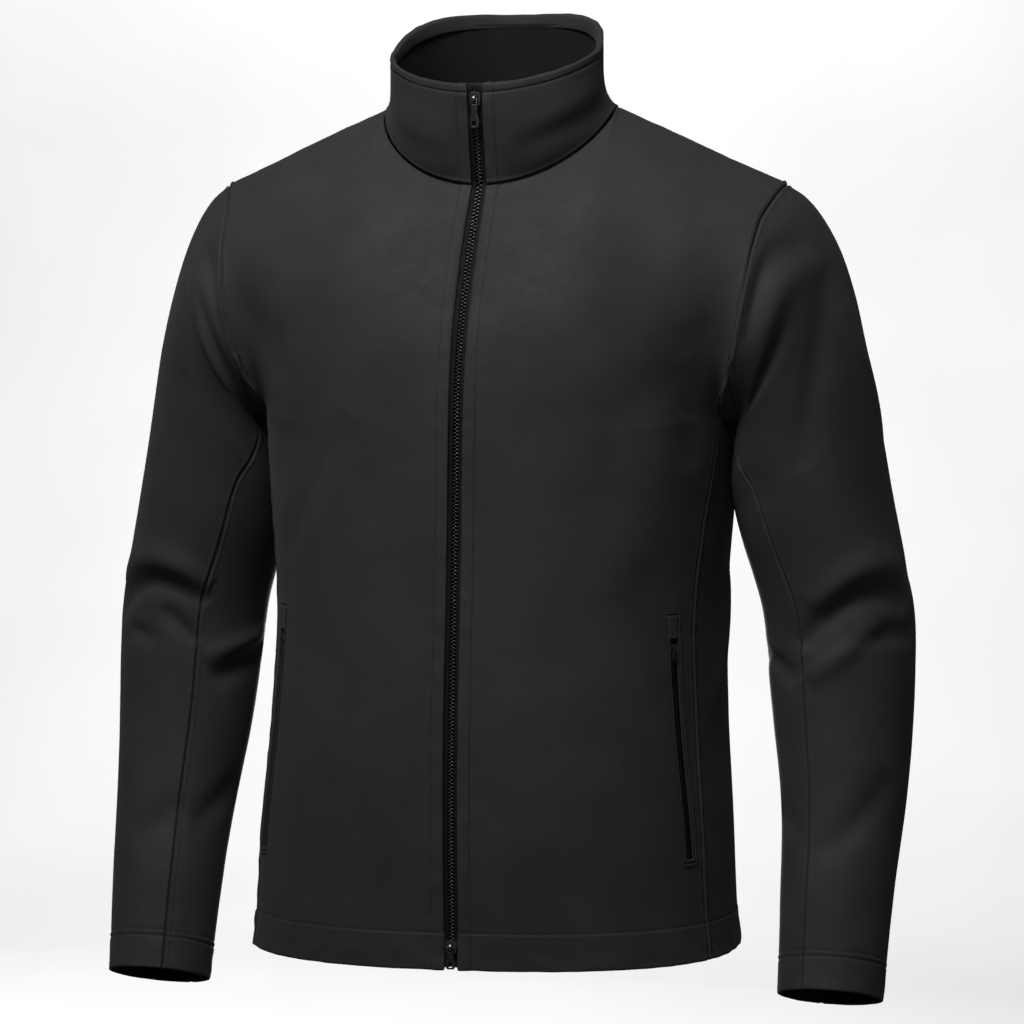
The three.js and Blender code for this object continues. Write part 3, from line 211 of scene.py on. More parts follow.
def signed_power(x: np.ndarray, power: float) -> np.ndarray:
    """The size of x raised to a power, with the sign of x."""
    return np.sign(x) * np.abs(x) ** power


def unit(vectors: np.ndarray) -> np.ndarray:
    """Vectors scaled to length one along the last axis."""
    return vectors / np.maximum(np.linalg.norm(vectors, axis=-1, keepdims=True), 1e-12)


def smooth(keys: np.ndarray, values: np.ndarray, x: np.ndarray) -> np.ndarray:
    """Cubic pieces through a column, each row with the slope between its two neighbours.

    Args:
        keys: increasing places of the rows.
        values: the column's value at each row.
        x: places where it is wanted, of any shape.

    Returns:
        The column's smooth value at each x, held at the ends.
    """
    keys = np.asarray(keys, float)
    values = np.asarray(values, float)
    last = len(keys) - 1
    rows = np.arange(last + 1)
    low, high = np.maximum(rows - 1, 0), np.minimum(rows + 1, last)
    slope = (values[high] - values[low]) / (keys[high] - keys[low])
    i = np.searchsorted(keys[1:last], x, side="left")
    span = keys[i + 1] - keys[i]
    t = np.clip((x - keys[i]) / span, 0, 1)
    bend = span * (slope[i] * t * (1 - t) ** 2 - slope[i + 1] * t * t * (1 - t))
    return lerp(values[i], values[i + 1], ease(t)) + bend


def section(rows: tuple, key: str, name: str, x: np.ndarray) -> np.ndarray:
    """One named column of a table of dataclass rows, smooth in its key column."""
    return smooth([getattr(r, key) for r in rows], [getattr(r, name) for r in rows], x)


def body_column(name: str, z: np.ndarray) -> np.ndarray:
    """A column of the body's sections at heights z."""
    return section(BODY, "z", name, z)


class Torso:
    """The body's skin, counted in cells round from the front edge and in rows up from the hem."""

    @staticmethod
    def tube(angle: np.ndarray, z: np.ndarray) -> np.ndarray:
        """Point of the body tube: a squared-off ellipse, deeper in front than behind.

        X is the half width times the sine, and Y the depth times the cosine, both raised to two
        over the squareness. The middle of a row is lifted by the cosine squared.
        """
        power = 2 / BODY_SQUARENESS
        along, across = np.sin(angle), np.cos(angle)
        wide = body_column("wide", z)
        reach = np.where(across > 0, wide - body_column("front", z), body_column("back", z) - wide)
        rise = np.where(across > 0, body_column("front_up", z), body_column("back_up", z))
        return np.stack([
            body_column("half", z) * signed_power(along, power),
            wide - reach * signed_power(across, power),
            z + rise * across**2 + body_column("tilt", z) * along,
        ], axis=-1)

    @staticmethod
    def angle_beside(x: float, z: np.ndarray) -> np.ndarray:
        """Angle at which the tube stands x beside the centre line."""
        return np.arcsin((x / body_column("half", z)) ** (BODY_SQUARENESS / 2))

    @classmethod
    def lower(cls, step: np.ndarray, row: np.ndarray) -> np.ndarray:
        """The tube from hem to chest, drawn towards the armhole's low edge near the chest."""
        z = lerp(HEM_Z, CHEST_Z, row / BODY_ROWS)
        near_arm = ease(1 - (CHEST_Z - z) / CORNER_BLEND)
        start, seam = cls.angle_beside(FRONT_EDGE, z), np.radians(body_column("seam", z))
        corner = math.radians(BACK_CORNER)
        front = np.clip(step / FRONT_CELLS, 0, 1)
        under = np.clip((step - FRONT_CELLS) / UNDERARM_CELLS, 0, 1)
        back = np.clip((step - BACK_START) / BACK_CELLS, 0, 1)
        angle = lerp(start, seam, front) + (corner - seam) * under + (math.pi - corner) * back
        turn = lerp(FRONT_CORNER_TURN, BACK_CORNER_TURN, under)
        weight = np.where(step <= FRONT_CELLS, front**3, (1 - back) ** 3)
        edge = np.where(step <= FRONT_CELLS, seam, np.where(step <= BACK_START, angle, corner))
        chest = np.full_like(z, CHEST_Z)
        pull = armhole_point(turn) - cls.tube(edge, chest)
        return cls.tube(angle, z) + pull * (weight * near_arm)[..., None]

    @classmethod
    def yoke(cls, step: np.ndarray, row: np.ndarray, back: bool) -> np.ndarray:
        """Patch from the chest to the shoulder and neck.

        Its four edges are blended as in a Coons patch: opposite edges mixed in both ways, less the
        mix of the corners. A cubic term gives the chest's own slope at the start, and t squared
        times one less t swells the middle.
        """
        t = (row - BODY_ROWS) / YOKE_ROWS
        first, cells = (BACK_START, BACK_CELLS) if back else (0, FRONT_CELLS)
        s = (step - first) / cells
        chest = np.full_like(step, BODY_ROWS)
        bottom, below = cls.lower(step, chest), cls.lower(step, chest - 1)
        turns = BACK_TURNS if back else FRONT_TURNS

        def armhole(share: np.ndarray) -> np.ndarray:
            """The armhole edge from the chest at 0 to the shoulder tip at 1."""
            return armhole_point(smooth(range(YOKE_ROWS + 1), turns, share * YOKE_ROWS))

        left, right = (armhole, cls.back_line) if back else (cls.front_line, armhole)
        crown = BACK_CROWN if back else FRONT_CROWN
        top = cls.top_edge(s, t, back)
        nought, one, near = np.zeros_like(t), np.ones_like(t), np.full_like(t, 1 / YOKE_ROWS)
        s, t = s[..., None], t[..., None]
        c00, c01, c10, c11 = left(nought), left(one), right(nought), right(one)
        p = bottom * (1 - t) + top * t + left(t[..., 0]) * (1 - s) + right(t[..., 0]) * s
        p = p - c00 * (1 - s) * (1 - t) - c10 * s * (1 - t) - c01 * (1 - s) * t - c11 * s * t
        middle = np.sqrt(np.clip(4 * s * (1 - s), 0, None))
        slope = top - bottom + ((left(near) - c00) * YOKE_ROWS - (c01 - c00)) * (1 - s)
        slope = slope + ((right(near) - c10) * YOKE_ROWS - (c11 - c10)) * s
        wanted = (bottom - below) * (YOKE_ROWS * START_SLOPE)
        swell = crown * CROWN_PEAK * t * t * (1 - t) * middle
        return p + (wanted - slope) * t * (1 - t) ** 2 * middle + swell

    @staticmethod
    def top_edge(s: np.ndarray, t: np.ndarray, back: bool) -> np.ndarray:
        """Neckline and shoulder seam as one edge, at a share s along it.

        Below the edge itself the bend between the two is softened: the edge is a mean of its own
        points over a span, which closes towards both ends of the edge and as t nears 1.
        """
        span = TOP_SPAN * np.clip(4 * s * (1 - s), 0, 1) * (1 - ease((t - TOP_SHARP) / (1 - TOP_SHARP)))
        total = 0
        for offset in np.linspace(-1, 1, TOP_SAMPLES):
            u = s + offset * span
            if back:
                steps = u * BACK_CELLS
                on_shoulder = steps < SHOULDER_CELLS
                shoulder, neck = 1 - steps / SHOULDER_CELLS, NECK_CELLS + steps - SHOULDER_CELLS
            else:
                steps = u * FRONT_CELLS
                on_shoulder = steps > NECK_CELLS
                shoulder, neck = (steps - NECK_CELLS) / SHOULDER_CELLS, steps
            points = np.where(on_shoulder[..., None], shoulder_point(shoulder), neck_point(neck_angle(neck)))
            total = total + points
        return total / TOP_SAMPLES

    @classmethod
    def centre_line(cls, t: np.ndarray, table: dict, step: float, top: np.ndarray, x: float) -> np.ndarray:
        """Centre edge of a yoke: the table's depth at each height, eased onto the edge's own two ends."""
        foot = cls.lower(np.full(1, float(step)), np.full(1, float(BODY_ROWS)))[0]
        z = lerp(foot[2], top[2], t)
        line = np.stack([np.full_like(z, x), smooth(table["z"], table["y"], z), z], axis=-1)
        start = np.array([x, smooth(table["z"], table["y"], foot[2]), foot[2]])
        end = np.array([x, smooth(table["z"], table["y"], top[2]), top[2]])
        return line + (foot - start) * (1 - t[..., None]) ** 4 + (top - end) * t[..., None] ** 4

    @classmethod
    def front_line(cls, t: np.ndarray) -> np.ndarray:
        """The front edge from the chest to the neck."""
        return cls.centre_line(t, CENTRE_FRONT, 0, neck_point(neck_angle(np.array(0.0))), FRONT_EDGE)

    @classmethod
    def back_line(cls, t: np.ndarray) -> np.ndarray:
        """Centre back from the chest to the neck."""
        top = neck_point(neck_angle(np.array(float(NECK_CELLS + BACK_NECK_CELLS))))
        return cls.centre_line(t, CENTRE_BACK, HALF_CELLS, top, 0.0)

    @classmethod
    def skin(cls, step: np.ndarray, row: np.ndarray, side: Side) -> np.ndarray:
        """Any point of one half of the body, the tilt dropping the wearer's right."""
        step, row = np.broadcast_arrays(np.asarray(step, float), np.asarray(row, float))
        low = cls.lower(step, np.minimum(row, BODY_ROWS))
        high_row = np.maximum(row, BODY_ROWS)
        front = cls.yoke(np.minimum(step, FRONT_CELLS), high_row, False)
        behind = cls.yoke(np.maximum(step, BACK_START), high_row, True)
        high = np.where((step <= FRONT_CELLS)[..., None], front, behind)
        p = np.where((row <= BODY_ROWS)[..., None], low, high)
        return on_side(p, lerp(HEM_Z, CHEST_Z, np.minimum(row, BODY_ROWS) / BODY_ROWS), side)


def on_side(p: np.ndarray, z: np.ndarray, side: Side) -> np.ndarray:
    """A point of the left half on its own side: mirrored on the right, and lower by the body's tilt."""
    if side is Side.LEFT:
        return p
    moved = p * (-1, 1, 1)
    moved[..., 2] -= 2 * body_column("tilt", z) * p[..., 0] / body_column("half", z)
    return moved


def armhole_point(turn: np.ndarray) -> np.ndarray:
    """The wearer's-left armhole at a turn in degrees from the shoulder tip, front first."""
    middle = ARMHOLE_MIDDLE
    y, z = ARMHOLE[:, 1] - middle["y"], ARMHOLE[:, 2] - middle["z"]
    turns = np.degrees(np.arctan2(-y / middle["deep"], z / middle["tall"])) % 360
    turns[0] = 0
    keys = np.concatenate([turns[-2:] - 360, turns, turns[:3] + 360])
    points = np.concatenate([ARMHOLE[-2:], ARMHOLE, ARMHOLE[:3]])
    return np.stack([smooth(keys, points[:, k], turn) for k in range(3)], axis=-1)


def edge_ends(edge: dict, across: np.ndarray) -> tuple[np.ndarray, np.ndarray]:
    """Depth and height of an edge at the centre front, or at the centre back where across is negative."""
    return tuple(np.where(across > 0, edge[f"{axis}_front"], edge[f"{axis}_back"]) for axis in "yz")


def neck_point(angle: np.ndarray) -> np.ndarray:
    """Neckline seam at an angle from centre front: an ellipse in plan that dips at front and back."""
    along, across = np.sin(angle), np.cos(angle)
    y_end, z_end = edge_ends(NECKLINE, across)
    power = np.where(across > 0, NECKLINE["power"], 2)
    y = lerp(NECKLINE["y_side"], y_end, np.abs(across))
    return np.stack([NECK_HALF * along, y, z_end * np.abs(across) ** power], axis=-1)


def ring_angle(step: np.ndarray, half: float) -> np.ndarray:
    """Angle of a neck or rim step: front cells from the front edge to the side, then back cells."""
    start, quarter = math.asin(FRONT_EDGE / half), math.pi / 2
    front = lerp(start, quarter, step / NECK_CELLS)
    return np.where(step <= NECK_CELLS, front, quarter + quarter * (step - NECK_CELLS) / BACK_NECK_CELLS)


def neck_angle(step: np.ndarray) -> np.ndarray:
    """Angle of a step of the neckline."""
    return ring_angle(step, NECK_HALF)


def shoulder_point(t: np.ndarray) -> np.ndarray:
    """Shoulder seam from the neck at 0 to the tip at 1."""
    neck = neck_point(np.array(math.pi / 2))
    return neck + (SHOULDER_TIP - neck) * np.asarray(t)[..., None]


class Collar:
    """The collar's skin: steps round from the front edge, and a rise from neckline to rim."""

    @staticmethod
    def rim(angle: np.ndarray) -> np.ndarray:
        """Top rim at an angle from centre front."""
        along, across = np.sin(angle), np.cos(angle)
        y_end, z_end = edge_ends(RIM, across)
        share = np.where(
            across > 0, np.abs(across) ** RIM_FRONT_POWER, 1 - np.clip(1 + across, 0, 1) ** RIM_BACK_POWER
        )
        y = lerp(RIM["y_side"], y_end, np.abs(across))
        return np.stack([RIM["half"] * along, y, lerp(RIM["z_side"], z_end, share)], axis=-1)

    @classmethod
    def skin(cls, step: np.ndarray, rise: np.ndarray, side: Side) -> np.ndarray:
        """Point of the collar: it leaves the neckline's plan for the rim's, sooner at the sides."""
        step, rise = np.broadcast_arrays(np.asarray(step, float), np.asarray(rise, float))
        base, angle = neck_point(neck_angle(step)), ring_angle(step, RIM["half"])
        top = cls.rim(angle)
        flare = np.clip(1 - rise, 0, 1) ** (1 + COLLAR_FLARE * np.abs(np.sin(angle)))
        p = np.stack([
            lerp(top[..., 0], base[..., 0], flare), lerp(top[..., 1], base[..., 1], flare),
            lerp(base[..., 2], top[..., 2], rise),
        ], axis=-1)
        return p * (side.value, 1, 1)


class Sleeve:
    """A sleeve's skin: a turn round from the shoulder tip, front first, and a distance down the arm."""

    @staticmethod
    def ring(s: np.ndarray, turn: np.ndarray) -> np.ndarray:
        """Ellipse through a ring's outer and inner points, leaning up at the front by its lean."""
        names = ("x_out", "z_out", "x_in", "z_in", "y", "deep", "lean")
        row = {name: section(SLEEVE, "s", name, s) for name in names}
        angle, lean = np.radians(turn), np.radians(row["lean"])
        out, fore = np.cos(angle) / 2, np.sin(angle) * row["deep"]
        return np.stack([
            (row["x_out"] + row["x_in"]) / 2 + out * (row["x_out"] - row["x_in"]),
            row["y"] - fore * np.cos(lean),
            (row["z_out"] + row["z_in"]) / 2 + out * (row["z_out"] - row["z_in"]) + fore * np.sin(lean),
        ], axis=-1)

    @staticmethod
    def swung(turn: np.ndarray, s: np.ndarray) -> np.ndarray:
        """Turn of a ring's point, moved with the front seam where that swings in under the arm."""
        off = turn % 360 - FRONT_SEAM_TURN
        reach = np.where(off < 0, FRONT_SEAM_TURN - SWING_TURNS[0], SWING_TURNS[1] - FRONT_SEAM_TURN)
        share = np.clip(1 - np.abs(off) / reach, 0, 1)
        return turn + share * smooth(SEAM_SWING["s"], SEAM_SWING["swing"], s)

    @staticmethod
    def body_reach(y: np.ndarray, z: np.ndarray) -> np.ndarray:
        """How far out the body tube stands at a depth and height, or far inside where it isn't."""
        wide = body_column("wide", z)
        reach = np.where(y < wide, wide - body_column("front", z), body_column("back", z) - wide)
        ratio = np.abs(y - wide) / reach
        out = body_column("half", z) * np.clip(1 - ratio**BODY_SQUARENESS, 0, 1) ** (1 / BODY_SQUARENESS)
        return np.where((z > CHEST_Z) | (z < HEM_Z) | (ratio >= 1), -1000.0, out)

    @classmethod
    def skin(cls, turn: np.ndarray, s: np.ndarray, side: Side) -> np.ndarray:
        """Point of the sleeve: the ring, bent onto the armhole near the top and kept off the body."""
        turn, s = np.broadcast_arrays(np.asarray(turn, float), np.asarray(s, float))
        wrapped = cls.swung(turn % 360, s)
        fade = (1 - ease(s / ARMHOLE_FADE))[..., None]
        p = cls.ring(s, wrapped)
        p = p + (armhole_point(wrapped) - cls.ring(np.zeros_like(s), wrapped)) * fade
        if side is Side.RIGHT:
            p[..., 2] -= RIGHT_SLEEVE_DROP * s / SLEEVE_LENGTH
        clear = cls.body_reach(p[..., 1], p[..., 2]) + np.minimum(SLEEVE_CLEAR, s * CLEAR_RATE)
        p[..., 0] = np.where(s > 0, np.maximum(p[..., 0], clear), p[..., 0])
        return p * (side.value, 1, 1)


# Folds of the cloth


@dataclass(frozen=True)
class Fold:
    """A fold's run from one place by a second to a third, in degrees round and millimetres along.

    A positive depth is a ridge. At its width from the run the lift is about a third of the depth.
    """

    start: tuple[float, float]
    by: tuple[float, float]
    end: tuple[float, float]
    depth: float
    width: float


SLEEVE_FOLDS = {
    Side.LEFT: (
        Fold((30, 38), (66, 14), (106, 10), -4.2, 9),
        Fold((24, 62), (62, 38), (102, 30), 2.5, 12),
        Fold((74, 66), (100, 61), (128, 52), -4.5, 11),
        Fold((20, 60), (52, 108), (84, 190), -3, 15),
        Fold((18, 92), (8, 150), (-14, 205), 2, 14),
        Fold((14, 312), (56, 299), (100, 322), 4, 13),
        Fold((18, 337), (68, 321), (112, 362), -5.5, 11),
        Fold((48, 345), (80, 371), (108, 396), 3.5, 10),
        Fold((8, 360), (42, 356), (72, 366), -3.4, 9),
        Fold((176, 360), (142, 376), (118, 396), -4, 10),
        Fold((34, 470), (68, 514), (114, 546), -3, 13),
        Fold((164, 498), (145, 510), (126, 522), -3, 9),
        Fold((330, 40), (296, 62), (262, 58), -4, 13),
        Fold((318, 110), (286, 128), (248, 118), -3, 15),
        Fold((352, 300), (318, 312), (284, 300), -3, 14),
        Fold((300, 372), (262, 356), (222, 366), -4, 12),
        Fold((322, 470), (290, 500), (256, 520), -3, 14),
    ),
    Side.RIGHT: (
        Fold((50, 22), (78, 9), (104, 7), -4.5, 8),
        Fold((76, 34), (104, 23), (130, 20), -4, 8),
        Fold((52, 46), (88, 38), (126, 40), 2.5, 10),
        Fold((32, 66), (56, 84), (72, 114), 2, 15),
        Fold((132, 10), (168, 46), (182, 116), -3.5, 13),
        Fold((26, 326), (70, 294), (120, 298), 4, 13),
        Fold((28, 356), (70, 314), (118, 322), -5.5, 11),
        Fold((44, 366), (60, 366), (80, 372), -3, 8),
        Fold((84, 334), (98, 350), (114, 368), -3, 8),
        Fold((128, 406), (156, 385), (194, 366), -4.5, 11),
        Fold((120, 386), (148, 364), (188, 344), 3, 10),
        Fold((182, 484), (154, 506), (128, 530), -3, 12),
        Fold((64, 541), (94, 526), (120, 509), -3, 13),
        Fold((326, 34), (292, 56), (258, 66), -4, 13),
        Fold((330, 128), (292, 116), (254, 132), -3, 15),
        Fold((346, 318), (310, 306), (276, 314), -3.5, 14),
        Fold((294, 352), (258, 372), (216, 380), -4, 12),
        Fold((318, 520), (284, 496), (250, 480), -3, 14),
    ),
}
BODY_FOLDS = (
    Fold((-36, -226), (-46, -276), (-60, -332), 2.5, 22),
    Fold((-26, -232), (-39, -312), (-55, -402), 2.5, 24),
    Fold((-31, -240), (-42, -290), (-58, -362), -2.5, 14),
    Fold((-72, -150), (-63, -176), (-57, -214), -3, 16),
    Fold((72, -146), (57, -200), (40, -250), -2.5, 20),
    Fold((60, -200), (63, -236), (66, -280), -3, 16),
    Fold((62, -236), (52, -300), (44, -380), 2.5, 26),
    Fold((100, -372), (92, -410), (76, -476), 3, 14),
    Fold((-104, -356), (-92, -420), (-80, -480), 3, 16),
    Fold((134, -190), (156, -216), (176, -222), -3, 22),
    Fold((226, -184), (204, -208), (186, -216), -3, 22),
    Fold((138, -300), (152, -380), (162, -470), -4, 24),
    Fold((220, -310), (208, -400), (200, -500), -4, 26),
    Fold((118, -420), (142, -452), (172, -462), 3, 22),
    Fold((242, -440), (222, -462), (190, -458), 3, 20),
)
COLLAR_FOLDS = (
    Fold((22, -36), (50, -18), (88, 6), -2.2, 9),
    Fold((30, -18), (58, 2), (90, 24), 1.2, 11),
    Fold((-20, -40), (-48, -26), (-84, 2), -1.4, 9),
    Fold((-14, -8), (-40, 6), (-70, 22), -0.9, 12),
    Fold((120, -4), (150, 14), (176, 30), -1.8, 12),
    Fold((240, 2), (214, 18), (190, 12), -1.6, 12),
)
COLLAR_DEGREE = 1.45
FOLD_STEPS = 12
SLEEVE_DEGREE = 1.1
BODY_DEGREE = 3.0
BODY_AXIS_Y = 15.0
FOLD_FADE = 12.0
FOLD_CELLS = 2.0
POCKET_CLEAR = {"first": 53.0, "last": 69.0, "low": -602.0, "high": -372.0, "fade": 30.0}


def fold_lift(folds: tuple[Fold, ...], degree: float, turn: np.ndarray, along: np.ndarray) -> np.ndarray:
    """How far a table of folds lifts the cloth.

    Each runs on the parabola through its three places. Across the run the lift is a bell curve, the
    depth times e to the minus square of distance over width, and it dies out at the ends as the
    square root of the sine of the share run.

    Args:
        folds: the table.
        degree: millimetres along the cloth for one degree.
        turn: degrees round, of each place.
        along: millimetres along, of each place.

    Returns:
        The lift in millimetres at each place.
    """
    t = np.linspace(0, 1, FOLD_STEPS + 1)
    weights = np.stack([(1 - t) * (1 - 2 * t), 4 * t * (1 - t), t * (2 * t - 1)], axis=1)
    turn, along = np.broadcast_arrays(np.asarray(turn, float), np.asarray(along, float))
    lift = np.zeros(turn.shape)
    for fold in folds:
        run = weights @ np.array([fold.start, fold.by, fold.end], float)
        x = (turn - fold.by[0] + 180) % 360 - 180 + fold.by[0]
        nearest, share = np.full(turn.shape, np.inf), np.zeros(turn.shape)
        for k in range(FOLD_STEPS):
            step = (run[k + 1] - run[k]) * (degree, 1)
            off_x, off_y = (x - run[k, 0]) * degree, along - run[k, 1]
            part = np.clip((off_x * step[0] + off_y * step[1]) / (step @ step), 0, 1)
            distance = np.hypot(off_x - part * step[0], off_y - part * step[1])
            share = np.where(distance < nearest, (k + part) / FOLD_STEPS, share)
            nearest = np.minimum(distance, nearest)
        lift += fold.depth * np.exp(-((nearest / fold.width) ** 2)) * np.sqrt(np.sin(math.pi * share))
    return lift


def pocket_share(turn: np.ndarray, z: np.ndarray) -> np.ndarray:
    """Share of the body's folds left beside the pockets, which lie flat."""
    area = POCKET_CLEAR
    turn = np.abs(turn)
    beside = np.maximum(np.maximum(area["first"] - turn, turn - area["last"]), 0) * BODY_DEGREE
    above = np.maximum(np.maximum(area["low"] - z, z - area["high"]), 0)
    return ease(np.hypot(beside, above) / area["fade"])


def waves(points: np.ndarray, length: float, seed: int, count: int = 9) -> np.ndarray:
    """Uneven field from -1 to 1: a mean of plane waves of about one length, in seeded directions."""
    chance = np.random.default_rng(seed)
    directions = unit(chance.normal(size=(count, 3)))
    pace = 2 * math.pi / (length * chance.uniform(0.75, 1.35, count))
    phase = chance.uniform(0, 2 * math.pi, count)
    return np.cos(points @ (directions * pace[:, None]).T + phase).sum(axis=-1) / math.sqrt(count * 2)


# Grids and shells

STATION_SAMPLES = 400
STATION_LEVEL = 0.4
PATH_BLOCK = 8000
BESIDE_REACH = 70


def stations(stops: tuple[float, ...], fine: float, coarse: float, band: float) -> np.ndarray:
    """Places from the first stop to the last, which keep every stop and draw together beside each.

    The spacing eases from fine to coarse over the band, and the count is the integral of one over it.
    """
    places = [np.array([float(stops[0])])]
    for low, high in zip(stops[:-1], stops[1:]):
        x = np.linspace(low, high, STATION_SAMPLES)
        spacing = lerp(fine, coarse, ease(np.minimum(x - low, high - x) / band - STATION_LEVEL))
        count = np.concatenate([[0], np.cumsum((1 / spacing[1:] + 1 / spacing[:-1]) / 2 * np.diff(x))])
        cells = max(1, round(count[-1]))
        places.append(np.interp(np.linspace(0, count[-1], cells + 1)[1:], count, x))
    return np.concatenate(places)


def nearest_index(values: np.ndarray, wanted: float) -> int:
    """Index of the value nearest to the wanted one."""
    return int(np.argmin(np.abs(values - wanted)))


def both_halves(left: np.ndarray, right: np.ndarray) -> np.ndarray:
    """A grid's left half and, run backwards without the shared middle column, its right half."""
    return np.concatenate([left, right[:, ::-1][:, 1:]], axis=1)


def grid_quads(rows: int, columns: int) -> np.ndarray:
    """Indices of the four corners of each cell in a grid of points."""
    index = np.arange(rows * columns).reshape(rows, columns)
    return np.stack([index[:-1, :-1], index[:-1, 1:], index[1:, 1:], index[1:, :-1]], axis=-1)


def facing(grid: np.ndarray, sign: int) -> np.ndarray:
    """Normals of a grid: the slope along its rows crossed with the slope up its columns."""
    return unit(np.cross(np.gradient(grid, axis=1), np.gradient(grid, axis=0))) * sign


def run_length(grid: np.ndarray, axis: int) -> np.ndarray:
    """Length run along each grid line from its start."""
    steps = np.linalg.norm(np.diff(grid, axis=axis), axis=-1)
    lengths = np.cumsum(steps, axis=axis)
    return np.concatenate([np.zeros_like(np.take(lengths, [0], axis=axis)), lengths], axis=axis)


def distance_to(points: np.ndarray, path: np.ndarray) -> np.ndarray:
    """Distance of each point to the nearest point of a path."""
    flat = points.reshape(-1, 3)
    result = np.empty(len(flat))
    for start in range(0, len(flat), PATH_BLOCK):
        part = flat[start:start + PATH_BLOCK]
        square = (part**2).sum(1)[:, None] + (path**2).sum(1)[None] - 2 * part @ path.T
        result[start:start + PATH_BLOCK] = np.sqrt(np.maximum(square.min(axis=1), 0))
    return result.reshape(points.shape[:-1])


def pocket_share_up(z: np.ndarray) -> np.ndarray:
    """Share of the way up a pocket's slot at heights z."""
    return (z - POCKET["z_bottom"]) / (POCKET["z_top"] - POCKET["z_bottom"])


@dataclass(frozen=True)
class Run:
    """A stretch of one grid line, from one index to another, and which way the cloth lies beside it."""

    column: bool
    index: int
    first: int
    last: int
    inward: int

    def points(self, grid: np.ndarray) -> np.ndarray:
        """The grid's points on the stretch."""
        line = grid[:, self.index] if self.column else grid[self.index]
        return line[self.first:self.last + 1]

    def beside(self, grid: np.ndarray, distance: float, fields: tuple[np.ndarray, ...]) -> list[np.ndarray]:
        """Values of fields at a distance into the cloth, measured along the crossing grid lines."""
        lines = [f if self.column else f.swapaxes(0, 1) for f in (grid, *fields)]
        lines = [f[self.first:self.last + 1, self.index::self.inward][:, :BESIDE_REACH] for f in lines]
        length = run_length(lines[0], 1)
        i = np.clip((length < distance).sum(axis=1), 1, length.shape[1] - 1)[:, None]
        low, high = np.take_along_axis(length, i - 1, 1), np.take_along_axis(length, i, 1)
        t = ((distance - low) / (high - low))[..., None]
        before, after = ([np.take_along_axis(f, k[..., None], 1) for f in lines] for k in (i - 1, i))
        return [lerp(a, b, t)[:, 0] for a, b in zip(before, after)]


def add_object(name: str, data: bpy.types.ID) -> bpy.types.Object:
    """A new object for some data, linked to the scene."""
    obj = bpy.data.objects.new(name, data)
    bpy.context.scene.collection.objects.link(obj)
    return obj


def make_object(
    name: str, points: np.ndarray, quads: np.ndarray, materials: list, slots: np.ndarray | None = None,
    uv: np.ndarray | None = None,
) -> bpy.types.Object:
    """Object from points in millimetres and quads.

    Args:
        name: the object's name.
        points: (n, 3) places.
        quads: (k, 4) indices, anticlockwise seen from outside.
        materials: its materials in slot order.
        slots: material slot of each quad, or none for the first.
        uv: (n, 2) place of each point on the flat cloth, in metres.

    Returns:
        The object, linked to the scene, at the origin.
    """
    used, place = np.unique(quads, return_inverse=True)
    quads = place.reshape(quads.shape)
    mesh = bpy.data.meshes.new(name)
    mesh.vertices.add(len(used))
    mesh.vertices.foreach_set("co", (points[used] * MM).astype(np.float32).ravel())
    mesh.loops.add(quads.size)
    mesh.loops.foreach_set("vertex_index", quads.astype(np.int32).ravel())
    mesh.polygons.add(len(quads))
    mesh.polygons.foreach_set("loop_start", np.arange(0, quads.size, 4, dtype=np.int32))
    if slots is not None:
        mesh.polygons.foreach_set("material_index", slots.astype(np.int32))
    mesh.polygons.foreach_set("use_smooth", np.full(len(quads), True))
    if uv is not None:
        layer = mesh.uv_layers.new(name="cloth_map")
        layer.data.foreach_set("uv", uv[used][quads.ravel()].astype(np.float32).ravel())
    mesh.update(calc_edges=True)
    mesh.validate()
    for material in materials:
        mesh.materials.append(material)
    return add_object(name, mesh)


RIM_STEPS = 4


def shell(outer: np.ndarray, inner: np.ndarray, keep: np.ndarray, sign: int, loose: np.ndarray) -> tuple:
    """Closed shell between two grids, with a rounded wall round every edge of the kept cells.

    The wall's section is half an ellipse from the outer to the inner face: the middle plus the
    half thickness times the cosine, and outward by the sine times the half thickness and looseness.

    Args:
        outer: (n, m, 3) outer face.
        inner: (n, m, 3) inner face.
        keep: (n-1, m-1) cells that exist.
        sign: 1 where rows crossed with columns point outward, or -1.
        loose: (n, m) how full the wall's curve is, 0 at a seam and 1 at an open edge.

    Returns:
        Points, quads and the slot of each quad: 0 outside, 1 inside.
    """
    rows, columns = keep.shape[0] + 1, keep.shape[1] + 1
    size = rows * columns
    quads = grid_quads(rows, columns)[keep][:, ::sign]
    edges = np.concatenate([quads[:, [k, (k + 1) % 4]] for k in range(4)])
    rim = edges[~np.isin(edges[:, 0] * size + edges[:, 1], edges[:, 1] * size + edges[:, 0])]
    points, back = outer.reshape(-1, 3), inner.reshape(-1, 3)
    tangent = np.zeros((size, 3))
    for end in (0, 1):
        np.add.at(tangent, rim[:, end], points[rim[:, 1]] - points[rim[:, 0]])
    thickness = (points - back) / 2
    half = np.linalg.norm(thickness, axis=-1, keepdims=True)
    away = unit(np.cross(tangent, thickness)) * half * loose.reshape(-1, 1)
    middle = (points + back) / 2
    angles = [math.pi * k / RIM_STEPS for k in range(1, RIM_STEPS)]
    loops = [middle + thickness * math.cos(a) + away * math.sin(a) for a in angles]
    layers = [points, *loops, back]
    walls = []
    for k in range(RIM_STEPS):
        a, b = rim[:, 0], rim[:, 1]
        walls.append(np.stack([b + k * size, a + k * size, a + (k + 1) * size, b + (k + 1) * size], axis=1))
    inside = quads[:, ::-1] + RIM_STEPS * size
    faces = np.concatenate([quads, *walls, inside])
    outside_wall = len(quads) + len(rim) * (RIM_STEPS // 2)
    return np.concatenate(layers), faces, (np.arange(len(faces)) >= outside_wall).astype(int)


